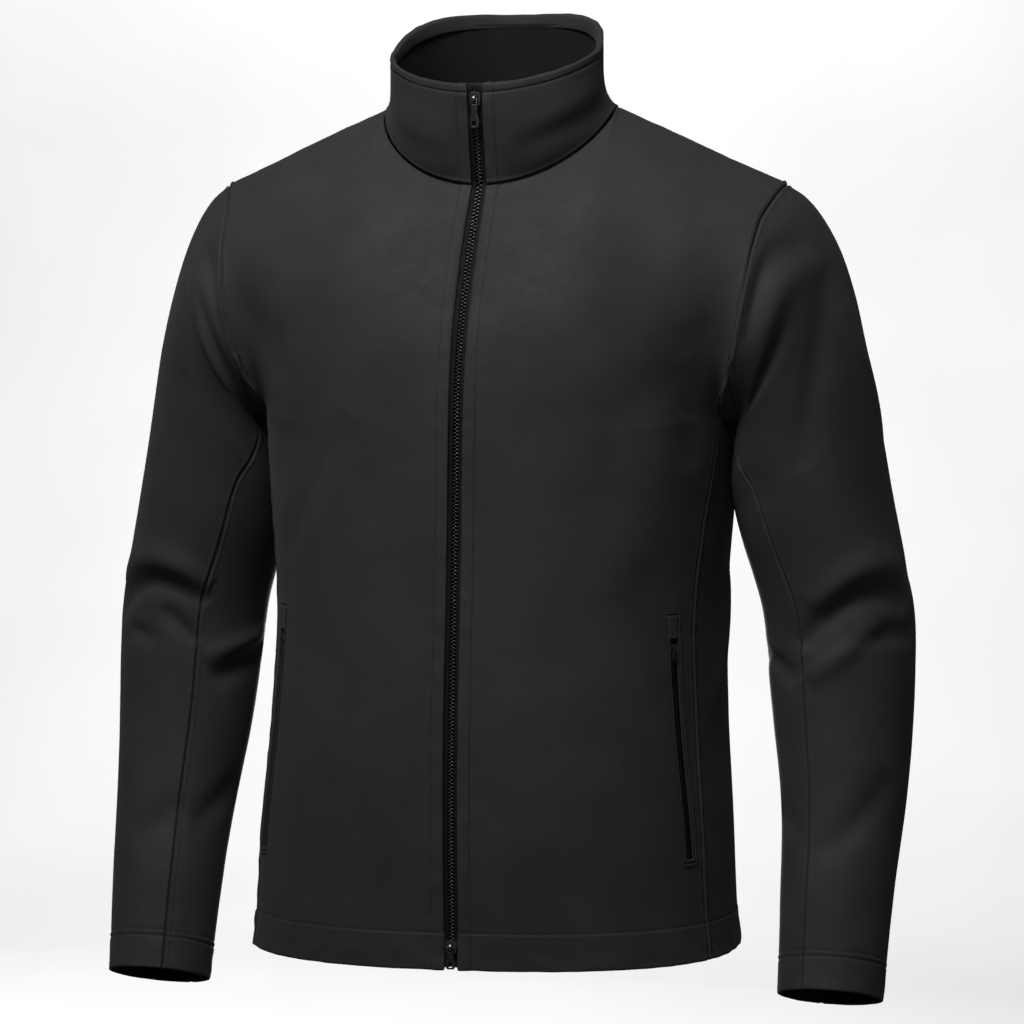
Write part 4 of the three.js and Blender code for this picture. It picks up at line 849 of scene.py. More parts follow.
def beads(
    at: np.ndarray, along: np.ndarray, out: np.ndarray, half: tuple[float, float, float],
    taper: tuple[float, ...],
) -> tuple[np.ndarray, np.ndarray]:
    """Many small four-sided beads, such as stitches and teeth.

    Each is a section of four points carried along its own axis: the section's half width and height
    times the taper at each of its stations, which stand evenly from end to end.

    Args:
        at: (n, 3) middles.
        along: (n, 3) axes.
        out: (n, 3) facings of the cloth.
        half: half length, half width and half height.
        taper: share of the section at each station.

    Returns:
        Points and quads.
    """
    along = unit(along)
    across = unit(np.cross(along, out))
    up = np.cross(across, along)
    shares = np.linspace(-1, 1, len(taper))
    corners = np.array([(1, 0), (0, 1), (-1, 0), (0, -1)], float)
    size = np.array(taper)
    points = (
        at[:, None, None] + along[:, None, None] * (shares * half[0])[None, :, None, None]
        + across[:, None, None] * (size[:, None] * corners[:, 0] * half[1])[None, :, :, None]
        + up[:, None, None] * (size[:, None] * corners[:, 1] * half[2])[None, :, :, None]
    )
    index = np.arange(len(taper) * 4).reshape(len(taper), 4)
    side = np.roll(index, -1, axis=1)
    quads = np.stack([index[:-1], side[:-1], side[1:], index[1:]], axis=-1).reshape(-1, 4)
    quads = np.concatenate([quads, index[:1, ::-1], index[-1:]])
    shift = np.arange(len(at)) * index.size
    return points.reshape(-1, 3), (quads[None] + shift[:, None, None]).reshape(-1, 4)


def join(parts: list[tuple[np.ndarray, np.ndarray]]) -> tuple[np.ndarray, np.ndarray]:
    """Several point and quad lists as one."""
    start, points, quads = 0, [], []
    for p, q in parts:
        points.append(p)
        quads.append(q + start)
        start += len(p)
    return np.concatenate(points), np.concatenate(quads)


# Finishes


RIBS_PER_SCALE = 3.1831
NOISE_LOW = 0.3
NOISE_HIGH = 0.7


class Recipe:
    """A material and short ways to add nodes to it. Its patterns lie on Object coordinates, in metres."""

    def __init__(self, name: str) -> None:
        """Start a material with its shader."""
        self.material = bpy.data.materials.new(name)
        self.material.use_nodes = True
        self.nodes, self.links = self.material.node_tree.nodes, self.material.node_tree.links
        self.shader = self.nodes["Principled BSDF"]
        self.place = self.nodes.new("ShaderNodeTexCoord")

    def set(self, **values: object) -> None:
        """Set sockets of the shader by name, with spaces written as underscores."""
        for name, value in values.items():
            self.shader.inputs[name.replace("_", " ")].default_value = value

    def node(self, kind: str, **values: object) -> bpy.types.Node:
        """New node, with inputs set by name, spaces written as underscores."""
        node = self.nodes.new(f"ShaderNode{kind}")
        for name, value in values.items():
            node.inputs[name.replace("_", " ")].default_value = value
        return node

    def noise(self, scale: float, detail: float = 3) -> object:
        """Noise with so many cells to the metre."""
        texture = self.node("TexNoise", Scale=scale, Detail=detail)
        self.links.new(self.place.outputs["Object"], texture.inputs["Vector"])
        return texture.outputs["Fac"]

    def ribs(self, scale: float, direction: str) -> object:
        """Sine ribs with so many to the metre across one direction of the cloth's map."""
        texture = self.node("TexWave", Scale=scale / RIBS_PER_SCALE, Distortion=0.0)
        texture.bands_direction = direction
        self.links.new(self.place.outputs["UV"], texture.inputs["Vector"])
        return texture.outputs["Fac"]

    def range(self, value: object, low: float, high: float) -> object:
        """Value brought from the span where noise mostly lies to a range."""
        node = self.node("MapRange", From_Min=NOISE_LOW, From_Max=NOISE_HIGH, To_Min=low, To_Max=high)
        self.links.new(value, node.inputs["Value"])
        return node.outputs["Result"]

    def shade(self, value: object, dark: tuple, light: tuple) -> object:
        """Colour between two, by a value."""
        node = self.node("Mix")
        node.data_type = "RGBA"
        node.inputs["A"].default_value, node.inputs["B"].default_value = (*dark, 1), (*light, 1)
        self.links.new(self.range(value, 0, 1), node.inputs["Factor"])
        return node.outputs["Result"]

    def product(self, a: object, b: object) -> object:
        """Product of two values."""
        node = self.node("Math")
        node.operation = "MULTIPLY"
        self.links.new(a, node.inputs[0])
        self.links.new(b, node.inputs[1])
        return node.outputs[0]

    def bump(self, height: object, strength: float, distance: float, below: object | None = None) -> object:
        """Bump from a height, on top of another bump if there is one."""
        node = self.node("Bump", Strength=strength, Distance=distance)
        self.links.new(height, node.inputs["Height"])
        if below is not None:
            self.links.new(below, node.inputs["Normal"])
        return node.outputs["Normal"]

    def join(self, output: object, name: str) -> None:
        """Link an output to one of the shader's sockets."""
        self.links.new(output, self.shader.inputs[name])


@dataclass(frozen=True)
class ClothFinish:
    """Bonded or knitted cloth: two near colours, roughness, sheen and the grain of its face."""

    name: str
    dark: tuple[float, float, float]
    light: tuple[float, float, float]
    roughness: tuple[float, float]
    sheen: float
    gloss: float
    grain: float
    grain_height: float
    rumple: float = 0.0

    def make(self) -> bpy.types.Material:
        """Build the material: blotches of colour, a fine thread grain and a slow rumple."""
        recipe = Recipe(self.name)
        recipe.set(Sheen_Weight=self.sheen, Sheen_Roughness=0.5, Specular_IOR_Level=self.gloss)
        blotch, grain = recipe.noise(22, 4), recipe.noise(self.grain, 2)
        recipe.join(recipe.shade(blotch, self.dark, self.light), "Base Color")
        recipe.join(recipe.range(recipe.noise(90, 3), *self.roughness), "Roughness")
        normal = recipe.bump(grain, 0.35, self.grain_height)
        if self.rumple:
            normal = recipe.bump(recipe.noise(60, 2), 0.5, self.rumple, normal)
        recipe.join(normal, "Normal")
        return recipe.material


@dataclass(frozen=True)
class TapeFinish:
    """Woven zip tape: ribs along it, crossed by fine picks."""

    name: str
    dark: tuple[float, float, float]
    light: tuple[float, float, float]
    ribs: float
    picks: float

    def make(self) -> bpy.types.Material:
        """Build the material from ribs along the tape times picks across it."""
        recipe = Recipe(self.name)
        recipe.set(Sheen_Weight=0.02, Specular_IOR_Level=0.15)
        weave = recipe.product(recipe.ribs(self.ribs, "X"), recipe.ribs(self.picks, "Y"))
        recipe.join(recipe.shade(weave, self.dark, self.light), "Base Color")
        recipe.join(recipe.range(recipe.noise(300), 0.62, 0.8), "Roughness")
        recipe.join(recipe.bump(weave, 0.5, 0.0002), "Normal")
        return recipe.material


@dataclass(frozen=True)
class HardFinish:
    """Moulded plastic or enamelled metal: colours, roughness, metalness, and fine scratches or grain."""

    name: str
    dark: tuple[float, float, float]
    light: tuple[float, float, float]
    roughness: tuple[float, float]
    metallic: float
    coat: float
    grain: float

    def make(self) -> bpy.types.Material:
        """Build the material from one noise for colour, one for roughness and a fine bump."""
        recipe = Recipe(self.name)
        recipe.set(Metallic=self.metallic, Coat_Weight=self.coat, Coat_Roughness=0.25)
        recipe.join(recipe.shade(recipe.noise(260, 3), self.dark, self.light), "Base Color")
        recipe.join(recipe.range(recipe.noise(500, 4), *self.roughness), "Roughness")
        recipe.join(recipe.bump(recipe.noise(self.grain, 2), 0.2, 0.00005), "Normal")
        return recipe.material


SOFTSHELL = ClothFinish(
    "softshell_face", (0.020, 0.0195, 0.0198), (0.026, 0.0255, 0.026), (0.68, 0.8), 0.03, 0.15, 900,
    0.0002, 0.00005)
BACKING = ClothFinish(
    "knit_backing", (0.005, 0.005, 0.005), (0.008, 0.008, 0.008), (0.85, 0.95), 0.02, 0.1, 500, 0.0004)
COLLAR_LINING = ClothFinish(
    "collar_lining", (0.006, 0.006, 0.006), (0.009, 0.009, 0.009), (0.8, 0.92), 0.02, 0.1, 600, 0.0003)
CHIN_TAB = ClothFinish(
    "chin_tab_lining", (0.006, 0.008, 0.020), (0.009, 0.012, 0.028), (0.75, 0.9), 0.05, 0.2, 700, 0.0002)
THREAD = ClothFinish(
    "sewing_thread", (0.006, 0.006, 0.006), (0.011, 0.011, 0.011), (0.5, 0.65), 0.0, 0.2, 1500, 0.0001)
ZIP_TAPE = TapeFinish("zip_tape_weave", (0.002, 0.002, 0.002), (0.005, 0.005, 0.005), 1400, 1800)
ZIP_TEETH = HardFinish(
    "zip_teeth", (0.004, 0.004, 0.004), (0.008, 0.008, 0.008), (0.24, 0.36), 0.0, 0.15, 1500)
ZIP_ENAMEL = HardFinish(
    "zip_enamel", (0.008, 0.008, 0.009), (0.016, 0.016, 0.018), (0.22, 0.34), 0.0, 0.8, 2500)
PULL_METAL = HardFinish("pull_metal", (0.022, 0.022, 0.024), (0.04, 0.04, 0.043), (0.3, 0.42), 0.7, 0.2, 2500)


class Wardrobe:
    """The materials, each made once."""

    def __init__(self) -> None:
        """Make every finish."""
        self.face, self.backing = SOFTSHELL.make(), BACKING.make()
        self.lining, self.chin = COLLAR_LINING.make(), CHIN_TAB.make()
        self.thread, self.tape = THREAD.make(), ZIP_TAPE.make()
        self.teeth, self.enamel, self.metal = ZIP_TEETH.make(), ZIP_ENAMEL.make(), PULL_METAL.make()


# Cloth panels


@dataclass(frozen=True)
class Sewing:
    """How the cloth is finished beside an edge.

    Attributes:
        rows: distances of the stitch rows from the edge.
        groove: how deep the cloth dips at a seam.
        ridge: how high the cloth folded back at the seam rolls up beside it.
        band: how far the turned-in layers raise the face up to the last row.
        hem: how much thicker the wall is there, inward.
        pucker: height of the unevenness that the sewing draws in.
        open: whether the edge is a free one with a rounded fold.
    """

    rows: tuple[float, ...] = ()
    groove: float = 1.9
    ridge: float = 0.45
    band: float = 0.0
    hem: float = 0.0
    pucker: float = 0.3
    open: bool = False

    def lift(self, distance: np.ndarray, base: np.ndarray) -> np.ndarray:
        """Lift of the face beside the edge: groove, raised band, sunk stitch rows and pucker."""
        lift = -self.groove * np.exp(-((distance / SEWN["groove_width"]) ** 2))
        lift = lift + self.ridge * np.exp(-(((distance - SEWN["ridge_place"]) / SEWN["ridge_width"]) ** 2))
        if self.rows:
            lift = lift + self.band * (1 - ease((distance - self.rows[-1]) / SEWN["band_fade"]))
        for row in self.rows:
            lift = lift - SEWN["row_sunk"] * np.exp(-(((distance - row) / SEWN["row_width"]) ** 2))
        reach = max(self.rows, default=0) + SEWN["pucker_reach"]
        return lift + self.pucker * waves(base, SEWN["pucker_length"], 31, 14) * (1 - ease(distance / reach))


SEWN = {
    "groove_width": 1.15, "ridge_place": 2.3, "ridge_width": 1.1,
    "band_fade": 1.6, "row_sunk": 0.85, "row_width": 0.8,
    "pucker_reach": 12.0, "pucker_length": 17.0,
}
FREE_EDGE = 0.9
STITCH = {"pitch": 3.3, "half": (1.15, 0.3, 0.26), "proud": 0.02, "taper": (0.45, 1.0, 1.0, 0.45)}
UNEVEN = ((0.7, 140.0, 11), (0.1, 42.0, 12))
CLOTH_WALL = 1.5


def uneven(points: np.ndarray) -> np.ndarray:
    """Slow unevenness of hanging cloth, the same for neighbours at a seam."""
    return sum(height * waves(points, length, seed) for height, length, seed in UNEVEN)


def at_lengths(field: np.ndarray, length: np.ndarray, places: np.ndarray) -> np.ndarray:
    """A field of three columns at places along a path, given the length run at each of its points."""
    return np.stack([np.interp(places, length, field[:, k]) for k in range(3)], axis=-1)


def stitches(path: np.ndarray, normals: np.ndarray) -> tuple[np.ndarray, np.ndarray]:
    """A row of stitches along a path on the cloth, one every pitch."""
    length = run_length(path[None], 1)[0]
    count = max(1, int(length[-1] / STITCH["pitch"]))
    places = (np.arange(count) + 0.5) * length[-1] / count
    out = unit(at_lengths(normals, length, places))
    middle = at_lengths(path, length, places) + out * STITCH["proud"]
    along = at_lengths(path, length, places + 1) - at_lengths(path, length, places - 1)
    return beads(middle, along, out, STITCH["half"], STITCH["taper"])


def around(
    columns: tuple[int, int], rows: tuple[int, int], inward: int, sewing: Sewing,
) -> list[tuple[Run, Sewing]]:
    """The four sides of a rectangle of cells: the cloth lies inside it at 1, or round it at -1."""
    sides = (
        (True, columns[0], *rows, inward), (True, columns[1], *rows, -inward),
        (False, rows[0], *columns, inward), (False, rows[1], *columns, -inward),
    )
    return [(Run(*side), sewing) for side in sides]


@dataclass
class Panel:
    """One cut piece of cloth on its grid: base surface, folds, sewn edges and cells that exist."""

    name: str
    node: str
    base: np.ndarray
    sign: int
    folds: np.ndarray
    edges: list[tuple[Run, Sewing]]
    keep: np.ndarray | None = None
    blocks: tuple[tuple[slice, slice], ...] = ((slice(None), slice(None)),)
    wall: float = CLOTH_WALL

    def normals(self, grid: np.ndarray) -> np.ndarray:
        """Facing of the grid, worked out block by block where parts of it don't exist."""
        total = np.zeros_like(grid)
        for block in self.blocks:
            total[block] += facing(grid[block], self.sign)
        return unit(total)

    def surface(self) -> tuple[np.ndarray, np.ndarray, np.ndarray]:
        """Final face, its normals, and the wall's thickness, after folds, unevenness and sewing."""
        lift = self.folds + uneven(self.base)
        thick = np.full(lift.shape, self.wall)
        for run, sewing in self.edges:
            distance = distance_to(self.base, run.points(self.base))
            lift = lift + sewing.lift(distance, self.base)
            if sewing.hem:
                thick += sewing.hem * (1 - ease((distance - sewing.rows[-1]) / SEWN["band_fade"]))
        points = self.base + self.normals(self.base) * lift[..., None]
        return points, self.normals(points), thick

    def build(
        self, wardrobe: Wardrobe, body: str, slot: str, rests_on: list[str], cloths: list | None = None,
    ) -> list[bpy.types.Object]:
        """Make the cloth and its stitching, and hide the solid they stand for.

        Args:
            wardrobe: the materials.
            body: the CAD body that they ride on.
            slot: not used.
            rests_on: not used.
            cloths: materials of face and back, where they aren't softshell.

        Returns:
            The cloth and, where it has rows of stitches, the stitching.
        """
        keep = self.keep
        if keep is None:
            keep = np.ones(tuple(n - 1 for n in self.base.shape[:2]), bool)
        points, normals, thick = self.surface()
        loose = np.zeros(points.shape[:2])
        for run, sewing in self.edges:
            if sewing.open:
                line = loose[:, run.index] if run.column else loose[run.index]
                line[run.first:run.last + 1] = FREE_EDGE
        inner = points - normals * thick[..., None]
        mesh_points, quads, slots = shell(points, inner, keep, self.sign, loose)
        across, up = run_length(self.base, 1), run_length(self.base, 0)
        flat = np.stack([across - across.max(axis=1, keepdims=True) / 2, up], axis=-1).reshape(-1, 2) * MM
        layers = len(mesh_points) // len(flat)
        cloth = make_object(
            self.name, mesh_points, quads, cloths or [wardrobe.face, wardrobe.backing], slots,
            np.tile(flat, (layers, 1)))
        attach(cloth, body)
        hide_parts(self.node)
        pieces = [cloth]
        rows = []
        for run, sewing in self.edges:
            for row in sewing.rows:
                path, out = run.beside(points, row, (normals,))[:2]
                rows.append(stitches(path, out))
        if rows:
            sewn = make_object(f"{self.name}_stitching", *join(rows), [wardrobe.thread])
            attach(sewn, body)
            pieces.append(sewn)
        return pieces


@dataclass
class Body:
    """The two fronts and the back, between zip, hem, armholes, shoulders and neckline."""

    fine: float = 0.9
    coarse: float = 5.2
    band: float = 15.0
    lower_height: float = 418.0
    yoke_height: float = 185.0
    front_width: float = 250.0
    slot_shares: tuple[float, float] = (0.86, 0.91)
    underarm: float = 115.0
    back_width: float = 210.0
    hem: Sewing = Sewing(rows=(28.0,), groove=0.0, ridge=0.0, band=0.5, hem=1.2, pucker=0.4, open=True)
    zip_edge: Sewing = Sewing(rows=(9.0,), groove=0.0, ridge=0.0, band=0.5, hem=0.5, pucker=0.35, open=True)
    topstitched: Sewing = Sewing(rows=(4.6,), band=0.6)
    plain: Sewing = Sewing()
    neckline: Sewing = Sewing(groove=0.9, ridge=0.0, pucker=0.35)
    slot_edge: Sewing = Sewing(groove=0.0, ridge=0.0, pucker=0.0, open=True)

    def rows(self) -> np.ndarray:
        """Rows from hem to shoulder, closer at the hem, the pocket's ends, the chest and the top."""
        low, high = (self.row_mm(POCKET[k]) for k in ("z_bottom", "z_top"))
        top = self.lower_height + self.yoke_height
        stops = (0.0, self.hem.rows[0], low, high, self.lower_height, top)
        return stations(stops, self.fine, self.coarse, self.band)

    def row_mm(self, z: float) -> float:
        """Height above the hem of a section of the tube."""
        return (z - HEM_Z) / (CHEST_Z - HEM_Z) * self.lower_height

    def row_number(self, mm: np.ndarray) -> np.ndarray:
        """Row of the skin at a height in millimetres."""
        return np.where(
            mm <= self.lower_height, mm / self.lower_height * BODY_ROWS,
            BODY_ROWS + (mm - self.lower_height) / self.yoke_height * YOKE_ROWS,
        )

    def body_folds(self, base: np.ndarray, step: np.ndarray, row: np.ndarray) -> np.ndarray:
        """Folds of the body, none at the front edge, the armholes, the neckline and the pockets."""
        turn = np.degrees(np.arctan2(base[..., 0], BODY_AXIS_Y - base[..., 1]))
        beyond = np.maximum(np.maximum(FRONT_CELLS - step, step - BACK_START), 0)
        armhole = np.where(row > BODY_ROWS, beyond, np.hypot(beyond, BODY_ROWS - row))
        edge = np.minimum(np.minimum(step, armhole), BODY_ROWS + YOKE_ROWS - row)
        share = ease(edge / FOLD_CELLS) * pocket_share(turn, base[..., 2])
        return fold_lift(BODY_FOLDS, BODY_DEGREE, turn, base[..., 2]) * share

    def front(self, side: Side) -> Panel:
        """One front, from the zip to the forward side seam, with its pocket slot left open."""
        mm = self.rows()
        row = self.row_number(mm)
        near, far = (share * self.front_width for share in self.slot_shares)
        stops = (0.0, self.front_width / 2, near, far, self.front_width)
        columns = stations((0.0, self.zip_edge.rows[0], *stops[1:]), self.fine, self.coarse, self.band)
        z = lerp(HEM_Z, CHEST_Z, np.minimum(row, BODY_ROWS) / BODY_ROWS)
        t = np.clip(pocket_share_up(z), -POCKET_BEYOND, 1 + POCKET_BEYOND)
        middle = np.radians(lerp(POCKET["angle_bottom"], POCKET["angle_top"], t))
        start, seam = Torso.angle_beside(FRONT_EDGE, z), np.radians(body_column("seam", z))
        half = POCKET["half"] / POCKET_RADIUS
        near_share, far_share = ((middle + off - start) / (seam - start) for off in (-half, half))
        share = np.stack([
            np.interp(columns, stops, (0, 0.5, a, b, 1)) for a, b in zip(near_share, far_share)])
        step, row_grid = share * FRONT_CELLS, np.broadcast_to(row[:, None], share.shape)
        base = Torso.skin(step, row_grid, side)
        heights = (self.lower_height, self.row_mm(POCKET["z_bottom"]), self.row_mm(POCKET["z_top"]))
        chest, low, high = (nearest_index(mm, height) for height in heights)
        neck, left, right = (nearest_index(columns, place) for place in (self.front_width / 2, near, far))
        last_row, last = len(mm) - 1, len(columns) - 1
        keep = np.ones((last_row, last), bool)
        keep[low:high, left:right] = False
        edges = [
            (Run(True, 0, 0, last_row, 1), self.zip_edge), (Run(False, 0, 0, last, 1), self.hem),
            (Run(True, last, 0, chest, -1), self.plain),
            (Run(True, last, chest, last_row, -1), self.topstitched),
            (Run(False, last_row, 0, neck, -1), self.neckline),
            (Run(False, last_row, neck, last, -1), self.plain),
            *around((left, right), (low, high), -1, self.slot_edge),
        ]
        folds = self.body_folds(base, step, row_grid)
        word = side.word
        return Panel(f"front_cloth_{word}", f"front_{word}", base, side.value, folds, edges, keep)

    def back(self) -> Panel:
        """The back, which wraps round under the arms."""
        mm = self.rows()
        row = self.row_number(mm)
        split = self.underarm + self.back_width * SHOULDER_CELLS / BACK_CELLS
        columns = stations(
            (0.0, self.underarm, split, self.underarm + self.back_width), self.fine, self.coarse, self.band)
        steps = np.where(
            columns <= self.underarm, FRONT_CELLS + columns / self.underarm * UNDERARM_CELLS,
            BACK_START + (columns - self.underarm) / self.back_width * BACK_CELLS,
        )
        grids = np.meshgrid(steps, row)
        left, right = (Torso.skin(*grids, side) for side in (Side.LEFT, Side.RIGHT))
        base = both_halves(left, right)
        step, row_grid = (both_halves(grid, grid) for grid in grids)
        chest = nearest_index(mm, self.lower_height)
        arm, neck = nearest_index(columns, self.underarm), nearest_index(columns, split)
        top, last = len(mm) - 1, base.shape[1] - 1
        keep = np.ones((top, last), bool)
        keep[chest:, :arm] = False
        keep[chest:, last - arm:] = False
        sewn = self.topstitched
        edges = [
            (Run(False, 0, 0, last, 1), self.hem),
            (Run(True, 0, 0, chest, 1), sewn), (Run(True, last, 0, chest, -1), sewn),
            (Run(False, chest, 0, arm, -1), sewn), (Run(False, chest, last - arm, last, -1), sewn),
            (Run(True, arm, chest, top, 1), sewn), (Run(True, last - arm, chest, top, -1), sewn),
            (Run(False, top, arm, neck, -1), sewn), (Run(False, top, last - neck, last - arm, -1), sewn),
            (Run(False, top, neck, last - neck, -1), self.neckline),
        ]
        blocks = ((slice(0, chest + 1), slice(None)), (slice(chest, None), slice(arm, last - arm + 1)))
        folds = self.body_folds(base, step, row_grid)
        return Panel("back_cloth", "back", base, 1, folds, edges, keep, blocks)


@dataclass
class Arms:
    """The two-piece sleeves, parted at a front and a back seam."""

    fine: float = 0.88
    coarse: float = 4.2
    band: float = 14.0
    degree: float = 1.05
    fold_share: float = 1.2
    cuff: Sewing = Sewing(rows=(25.0, 29.5), groove=0.0, ridge=0.0, band=0.4, hem=1.0, pucker=0.3, open=True)
    cap: Sewing = Sewing(ridge=0.6, pucker=0.5)
    seam: Sewing = Sewing(ridge=0.6, pucker=0.25)

    def panel(self, side: Side, upper: bool) -> Panel:
        """One piece of a sleeve from its cap to its cuff."""
        seams = (FRONT_SEAM_TURN, BACK_SEAM_TURN)
        if upper:
            seams = (BACK_SEAM_TURN, 360.0, 360.0 + FRONT_SEAM_TURN)
        stops = tuple(turn * self.degree for turn in seams)
        turns = stations(stops, self.fine, self.coarse, self.band) / self.degree
        cuff_row = SLEEVE_LENGTH - self.cuff.rows[-1]
        s = stations((0.0, cuff_row, SLEEVE_LENGTH), self.fine, self.coarse, self.band)
        turn, along = np.meshgrid(turns, s)
        base = Sleeve.skin(turn, along, side)
        folds = fold_lift(SLEEVE_FOLDS[side], SLEEVE_DEGREE, Sleeve.swung(turn, along), along)
        folds = folds * ease(along / FOLD_FADE) * self.fold_share
        last_row, last = len(s) - 1, len(turns) - 1
        edges = [
            (Run(False, 0, 0, last, 1), self.cap), (Run(False, last_row, 0, last, -1), self.cuff),
            (Run(True, 0, 0, last_row, 1), self.seam), (Run(True, last, 0, last_row, -1), self.seam),
        ]
        word = "upper" if upper else "under"
        return Panel(
            f"{word}_sleeve_cloth_{side.word}", f"{word}_sleeve_{side.word}", base, side.value, folds, edges)


@dataclass
class CollarWork:
    """The stand collar: its outer cloth rolled over the rim, the lining behind it and the chin tab."""

    roll: float = 2.6
    tuck: float = 9.0
    height: float = 80.0
    half_width: float = 265.0
    coarse: float = 3.0
    fine: float = 0.65
    side_band: float = 12.0
    rise_band: float = 10.0
    roll_steps: int = 10
    tuck_steps: int = 5
    rim_fade: float = 20.0
    rim_rows: int = 8
    outer_wall: float = 1.2
    lining_rows: int = 26
    lining_face: float = 2.6
    lining_wall: float = 1.4
    lining_rise: tuple[float, float] = (0.03, 0.9)
    front_edge: Sewing = Sewing(rows=(9.0,), groove=0.0, ridge=0.0, band=0.3, pucker=0.3, open=True)
    rim_edge: Sewing = Sewing(rows=(4.4,), groove=0.0, ridge=0.0, pucker=0.3)
    neck_seam: Sewing = Sewing(groove=1.0, ridge=0.5, pucker=0.4)
    tucked: Sewing = Sewing(groove=1.2, ridge=0.0, pucker=0.1)
    tuck_edge: Sewing = Sewing(groove=0.0, ridge=0.0, pucker=0.1, open=True)

    def steps(self) -> np.ndarray:
        """Steps from the left front edge to centre back."""
        side_mm = self.half_width * NECK_CELLS / (NECK_CELLS + BACK_NECK_CELLS)
        places = stations((0.0, side_mm, self.half_width), self.fine, self.coarse, self.side_band)
        return places / self.half_width * (NECK_CELLS + BACK_NECK_CELLS)

    def whole(self, rise: np.ndarray) -> np.ndarray:
        """Collar skin from the left front edge round the back to the right, at each rise."""
        step, rise = np.meshgrid(self.steps(), rise)
        left, right = (Collar.skin(step, rise, side) for side in (Side.LEFT, Side.RIGHT))
        return both_halves(left, right)

    def outer(self) -> Panel:
        """The outer cloth.

        It climbs the skin to one roll radius below the rim. There it turns over on a half circle,
        up by the sine and in by one less the cosine, and runs down inside.
        """
        stops = (0.0, self.height - self.roll)
        body = stations(stops, self.fine, self.coarse, self.rise_band) / self.height
        stand = self.whole(body)
        edge = stand[-1]
        up = unit(self.whole(np.array([body[-1], 1.0]))[1] - edge)
        inward = -facing(stand, 1)[-1]
        inward = unit(inward - up * (inward * up).sum(-1, keepdims=True))
        angles = np.linspace(0, math.pi, self.roll_steps)[1:, None, None]
        roll = edge + up * self.roll * np.sin(angles) + inward * self.roll * (1 - np.cos(angles))
        down = np.linspace(0, self.tuck, self.tuck_steps)[1:, None, None]
        tuck = roll[-1] - up * down
        base = np.concatenate([stand, roll, tuck])
        rim, last_row, last = len(stand) - 1, len(base) - 1, base.shape[1] - 1
        edges = [
            (Run(False, 0, 0, last, 1), self.neck_seam), (Run(False, rim, 0, last, -1), self.rim_edge),
            (Run(True, 0, 0, rim, 1), self.front_edge), (Run(True, last, 0, rim, -1), self.front_edge),
            (Run(False, last_row, 0, last, -1), self.tuck_edge),
        ]
        turn = np.degrees(np.arctan2(base[..., 0], -base[..., 1]))
        folds = fold_lift(COLLAR_FOLDS, COLLAR_DEGREE, turn, base[..., 2])
        folds[rim - self.rim_rows:] = 0
        up_cloth = run_length(base, 0)
        folds *= ease(up_cloth / FOLD_FADE) * ease((self.height - up_cloth) / self.rim_fade)
        return Panel("collar_cloth", "collar_outer", base, 1, folds, edges, wall=self.outer_wall)

    def lining(self) -> Panel:
        """The lining, a wall of its own inside the outer cloth."""
        rise = np.linspace(*self.lining_rise, self.lining_rows)
        skin = self.whole(rise)
        base = skin - facing(skin, 1) * self.lining_face
        last_row, last = base.shape[0] - 1, base.shape[1] - 1
        edges = [(Run(False, 0, 0, last, 1), self.tucked), (Run(False, last_row, 0, last, -1), self.tucked)]
        return Panel(
            "collar_lining", "collar_inner", base, 1, np.zeros(base.shape[:2]), edges, wall=self.lining_wall)


# Zips


def strip(name: str, grid: np.ndarray, wall: np.ndarray, materials: list, loose: float) -> bpy.types.Object:
    """Closed strip from a grid of its face and its thickness behind, with a map along it for the weave."""
    normals = facing(grid, 1)
    inner = grid - normals * np.broadcast_to(wall, grid.shape[:2])[..., None]
    keep = np.ones((grid.shape[0] - 1, grid.shape[1] - 1), bool)
    points, quads, slots = shell(grid, inner, keep, 1, np.full(grid.shape[:2], loose))
    flat = np.stack([run_length(grid, 1), run_length(grid, 0)], axis=-1).reshape(-1, 2) * MM
    return make_object(name, points, quads, materials, slots, np.tile(flat, (len(points) // len(flat), 1)))


def dress(obj: bpy.types.Object, body: str, slot: str, *nodes: str) -> bpy.types.Object:
    """Put a piece on the body it rides on, hide the solids it stands for and log its faces."""
    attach(obj, body)
    if nodes:
        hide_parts(*nodes)
    LOG.info("%s: %d faces", obj.name, len(obj.data.polygons))
    return obj


